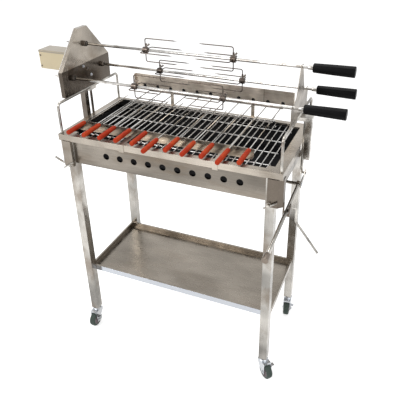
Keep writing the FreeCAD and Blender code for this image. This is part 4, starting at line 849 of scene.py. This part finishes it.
def clamp(sign, low, high):
    """A boss with a washer face and a bar slid to one side through it, in its box."""
    back = high.y
    shape = bmesh.new()
    x = (low.x + high.x) / 2 - sign * CLAMP_SHIFT
    z = (low.z + high.z) / 2
    lathe(shape, [(0, 0), (0, 7 * MM), (2 * MM, 7 * MM), (2.4 * MM, 6 * MM), (11 * MM, 6 * MM),
                  (13.6 * MM, 5 * MM), (14 * MM, 0)], Vector((x, back, z)), -Y, 28)
    tilt = math.radians(CLAMP_TILT)
    along = Vector((math.cos(tilt), 0, math.sin(tilt)))
    centre = Vector((x + sign * CLAMP_SHIFT, back - 7 * MM, z))
    rod(shape, [centre - along * CLAMP_REACH, centre + along * CLAMP_REACH], 2.9 * MM, 16)
    return shape


def clamps():
    low, high = corners("clamp_screws")
    left = clamp(-1, low, Vector((low.x + CLAMP_WIDE, high.y, high.z)))
    right = clamp(1, Vector((high.x - CLAMP_WIDE, low.y, low.z)), high)
    piece("clamp_left", left, ROD, "frame", "clamp_screws")
    piece("clamp_right", right, ROD, "frame")


# ---------------------------------------------------------------- frame details
def frame_details():
    """Welds at the shelf's corners, two strips behind the windshield's holes, the front one black
    as painted shade seen through the holes and the one behind steel, and the dark line where the
    windshield's sheets lap."""
    low, high = corners("storage_shelf")
    shape = bmesh.new()
    for x, sign in ((low.x + SHELF_CORNER, 1), (high.x - SHELF_CORNER, -1)):
        for y in (low.y, high.y):
            bead(shape, Vector((x - sign * SHELF_WELD, y, high.z)), Vector((x, y, high.z)),
                 1.4 * MM)
            bead(shape, Vector((x, y, low.z + 1 * MM)), Vector((x, y, high.z)), 1.1 * MM)
    piece("shelf_welds", shape, TINTED, "frame")

    low, high = corners("windshield")
    top = low.z + STRIP_TOP
    # the black strip is painted shade seen through the windshield's holes
    for name, shade, inset_by, back in (("soot_and_shade", CHAR_AND_SHADE, 9 * MM, 0.1 * MM),
                                        ("backing", SHEET_WIND, 8 * MM, 0.5 * MM)):
        strip = bmesh.new()
        block(strip, Vector((low.x + inset_by, high.y + back, top - 30 * MM + inset_by)),
              Vector((high.x - inset_by, high.y + back + 0.7 * MM, top + 8 * MM - inset_by)),
              0.15 * MM)
        piece(f"windshield_{name}", strip, shade, "frame")
    lap = bmesh.new()
    block(lap, Vector((high.x - LAP_RIGHT, high.y - 1.9 * MM, low.z + 55 * MM)),
          Vector((high.x - 120.6 * MM, high.y - 1.2 * MM, high.z - 1 * MM)), 0.2 * MM)
    piece("windshield_lap", lap, CHAR_AND_SHADE, "frame")


# ---------------------------------------------------------------- casters
def whole_section(half):
    """A closed ring section from its half, given in millimetres; the other half mirrors it."""
    profile = [(along * MM, radius * MM) for along, radius in half]
    profile += [(-along, radius) for along, radius in reversed(profile)]
    return profile + profile[:1]


def caster(corner):
    """A rounded tyre with a tread line, a dished hub, a bearing race and axle nuts."""
    joint = JOINTS[f"wheel_spin_{corner}"]
    at, axis = Vector(joint["pos_m"]), Vector(joint["axis"]).normalized()
    wheel, swivel = f"wheel_{corner}", f"caster_{corner}"
    tyre = bmesh.new()
    lathe(tyre, whole_section(TYRE_HALF), at, axis, 56)
    piece(f"tyre_{corner}", tyre, TYRE, wheel, f"caster_wheel_{corner}")
    hub = bmesh.new()
    lathe(hub, whole_section(WHEEL_HUB_HALF), at, axis, 56)
    piece(f"hub_{corner}", hub, HUB, wheel)
    nuts = bmesh.new()
    bolt(nuts, at + axis * (18.6 * MM), axis, 11 * MM, 4 * MM)
    bolt(nuts, at - axis * (16.0 * MM), -axis, 11 * MM, 2.6 * MM)
    piece(f"axle_nuts_{corner}", nuts, ZINCED, swivel)
    race = bmesh.new()
    king = Vector(JOINTS[f"caster_swivel_{corner}"]["pos_m"])
    top = corners("legs")[0].z
    centre = Vector((king.x, king.y, top))
    lathe(race, [(-9 * MM, 16.8 * MM), (-8.4 * MM, 18 * MM), (-6.4 * MM, 18.4 * MM),
                 (-5.4 * MM, 17.2 * MM), (-3 * MM, 17.2 * MM), (-1.4 * MM, 15 * MM),
                 (-0.6 * MM, 11 * MM)], centre, Z, 40)
    piece(f"swivel_race_{corner}", race, ZINCED, swivel)


def build():
    dress_all()
    grate()
    rack()
    for name in SPITS:
        spit(name)
        handle(name)
        fork(name, "left")
        fork(name, "right")
    for node in SKEWERS:
        hand_skewer(node)
    gear_case_details()
    motor_details()
    lift_details()
    lever()
    clamps()
    frame_details()
    for corner in CASTERS:
        caster(corner)


# ---------------------------------------------------------------- studio
def shown_white(tree):
    """1 for the rays that show the backdrop as it is: to the camera, in gloss, through glass."""
    ray = tree.nodes.new("ShaderNodeLightPath")
    seen = maths(tree, "MAXIMUM", ray.outputs["Is Camera Ray"], ray.outputs["Is Glossy Ray"])
    return maths(tree, "MAXIMUM", seen, ray.outputs["Is Transmission Ray"])


def studio_floor():
    """A white floor that keeps the object's soft shadow."""
    floor = bpy.data.meshes.new("studio_floor")
    rim = [(x * FLOOR_REACH, y * FLOOR_REACH, 0) for x, y in ((-1, -1), (1, -1), (1, 1), (-1, 1))]
    floor.from_pydata(rim, [], [(0, 1, 2, 3)])
    ground = bpy.data.objects.new("studio_floor", floor)
    bpy.context.collection.objects.link(ground)
    ground.location.z = cad_box[0][2] - 0.5 * MM
    material, tree, shader = node_tree("studio_white")
    shader.inputs["Base Color"].default_value = FLOOR_WHITE
    shader.inputs["Roughness"].default_value = 0.9
    shader.inputs["Emission Color"].default_value = WHITE
    tree.links.new(maths(tree, "MULTIPLY", shown_white(tree), FLOOR_GLOW),
                   shader.inputs["Emission Strength"])
    floor.materials.append(material)


def studio_air():
    """White all round as a backdrop, and softer as a light on what isn't shiny."""
    world = bpy.data.worlds.new("studio_air")
    bpy.context.scene.world = world
    world.use_nodes = True
    tree = world.node_tree
    tree.nodes.clear()
    out = tree.nodes.new("ShaderNodeOutputWorld")
    seen = tree.nodes.new("ShaderNodeBackground")
    seen.inputs["Color"].default_value = WHITE
    soft = tree.nodes.new("ShaderNodeBackground")
    soft.inputs["Color"].default_value = WHITE
    soft.inputs["Strength"].default_value = AIR_LIGHT
    mix = tree.nodes.new("ShaderNodeMixShader")
    tree.links.new(shown_white(tree), mix.inputs["Fac"])
    tree.links.new(soft.outputs["Background"], mix.inputs[1])
    tree.links.new(seen.outputs["Background"], mix.inputs[2])
    tree.links.new(mix.outputs["Shader"], out.inputs["Surface"])


def lamp(name, place, side, power):
    """A square soft lamp at a place, aimed at the object."""
    light = bpy.data.lights.new(name, "AREA")
    light.shape = "SQUARE"
    light.size = side
    light.energy = power
    rig = bpy.data.objects.new(name, light)
    rig.location = place
    rig.rotation_euler = (LAMP_TARGET - place).to_track_quat("-Z", "Y").to_euler()
    bpy.context.collection.objects.link(rig)


def studio():
    studio_floor()
    studio_air()
    for name, place, side, power in LAMPS:
        lamp(name, place, side, power)


def camera():
    lens = bpy.data.cameras.new("camera")
    lens.sensor_width = 36.0
    lens.lens = CAMERA_LENS
    lens.shift_x, lens.shift_y = CAMERA_SHIFT
    lens.dof.use_dof = False
    eye = bpy.data.objects.new("camera", lens)
    eye.location = CAMERA_AT
    eye.rotation_euler = CAMERA_TURN
    bpy.context.collection.objects.link(eye)
    bpy.context.scene.camera = eye


build()
studio()
camera()
bpy.context.scene.view_settings.view_transform = "Standard"
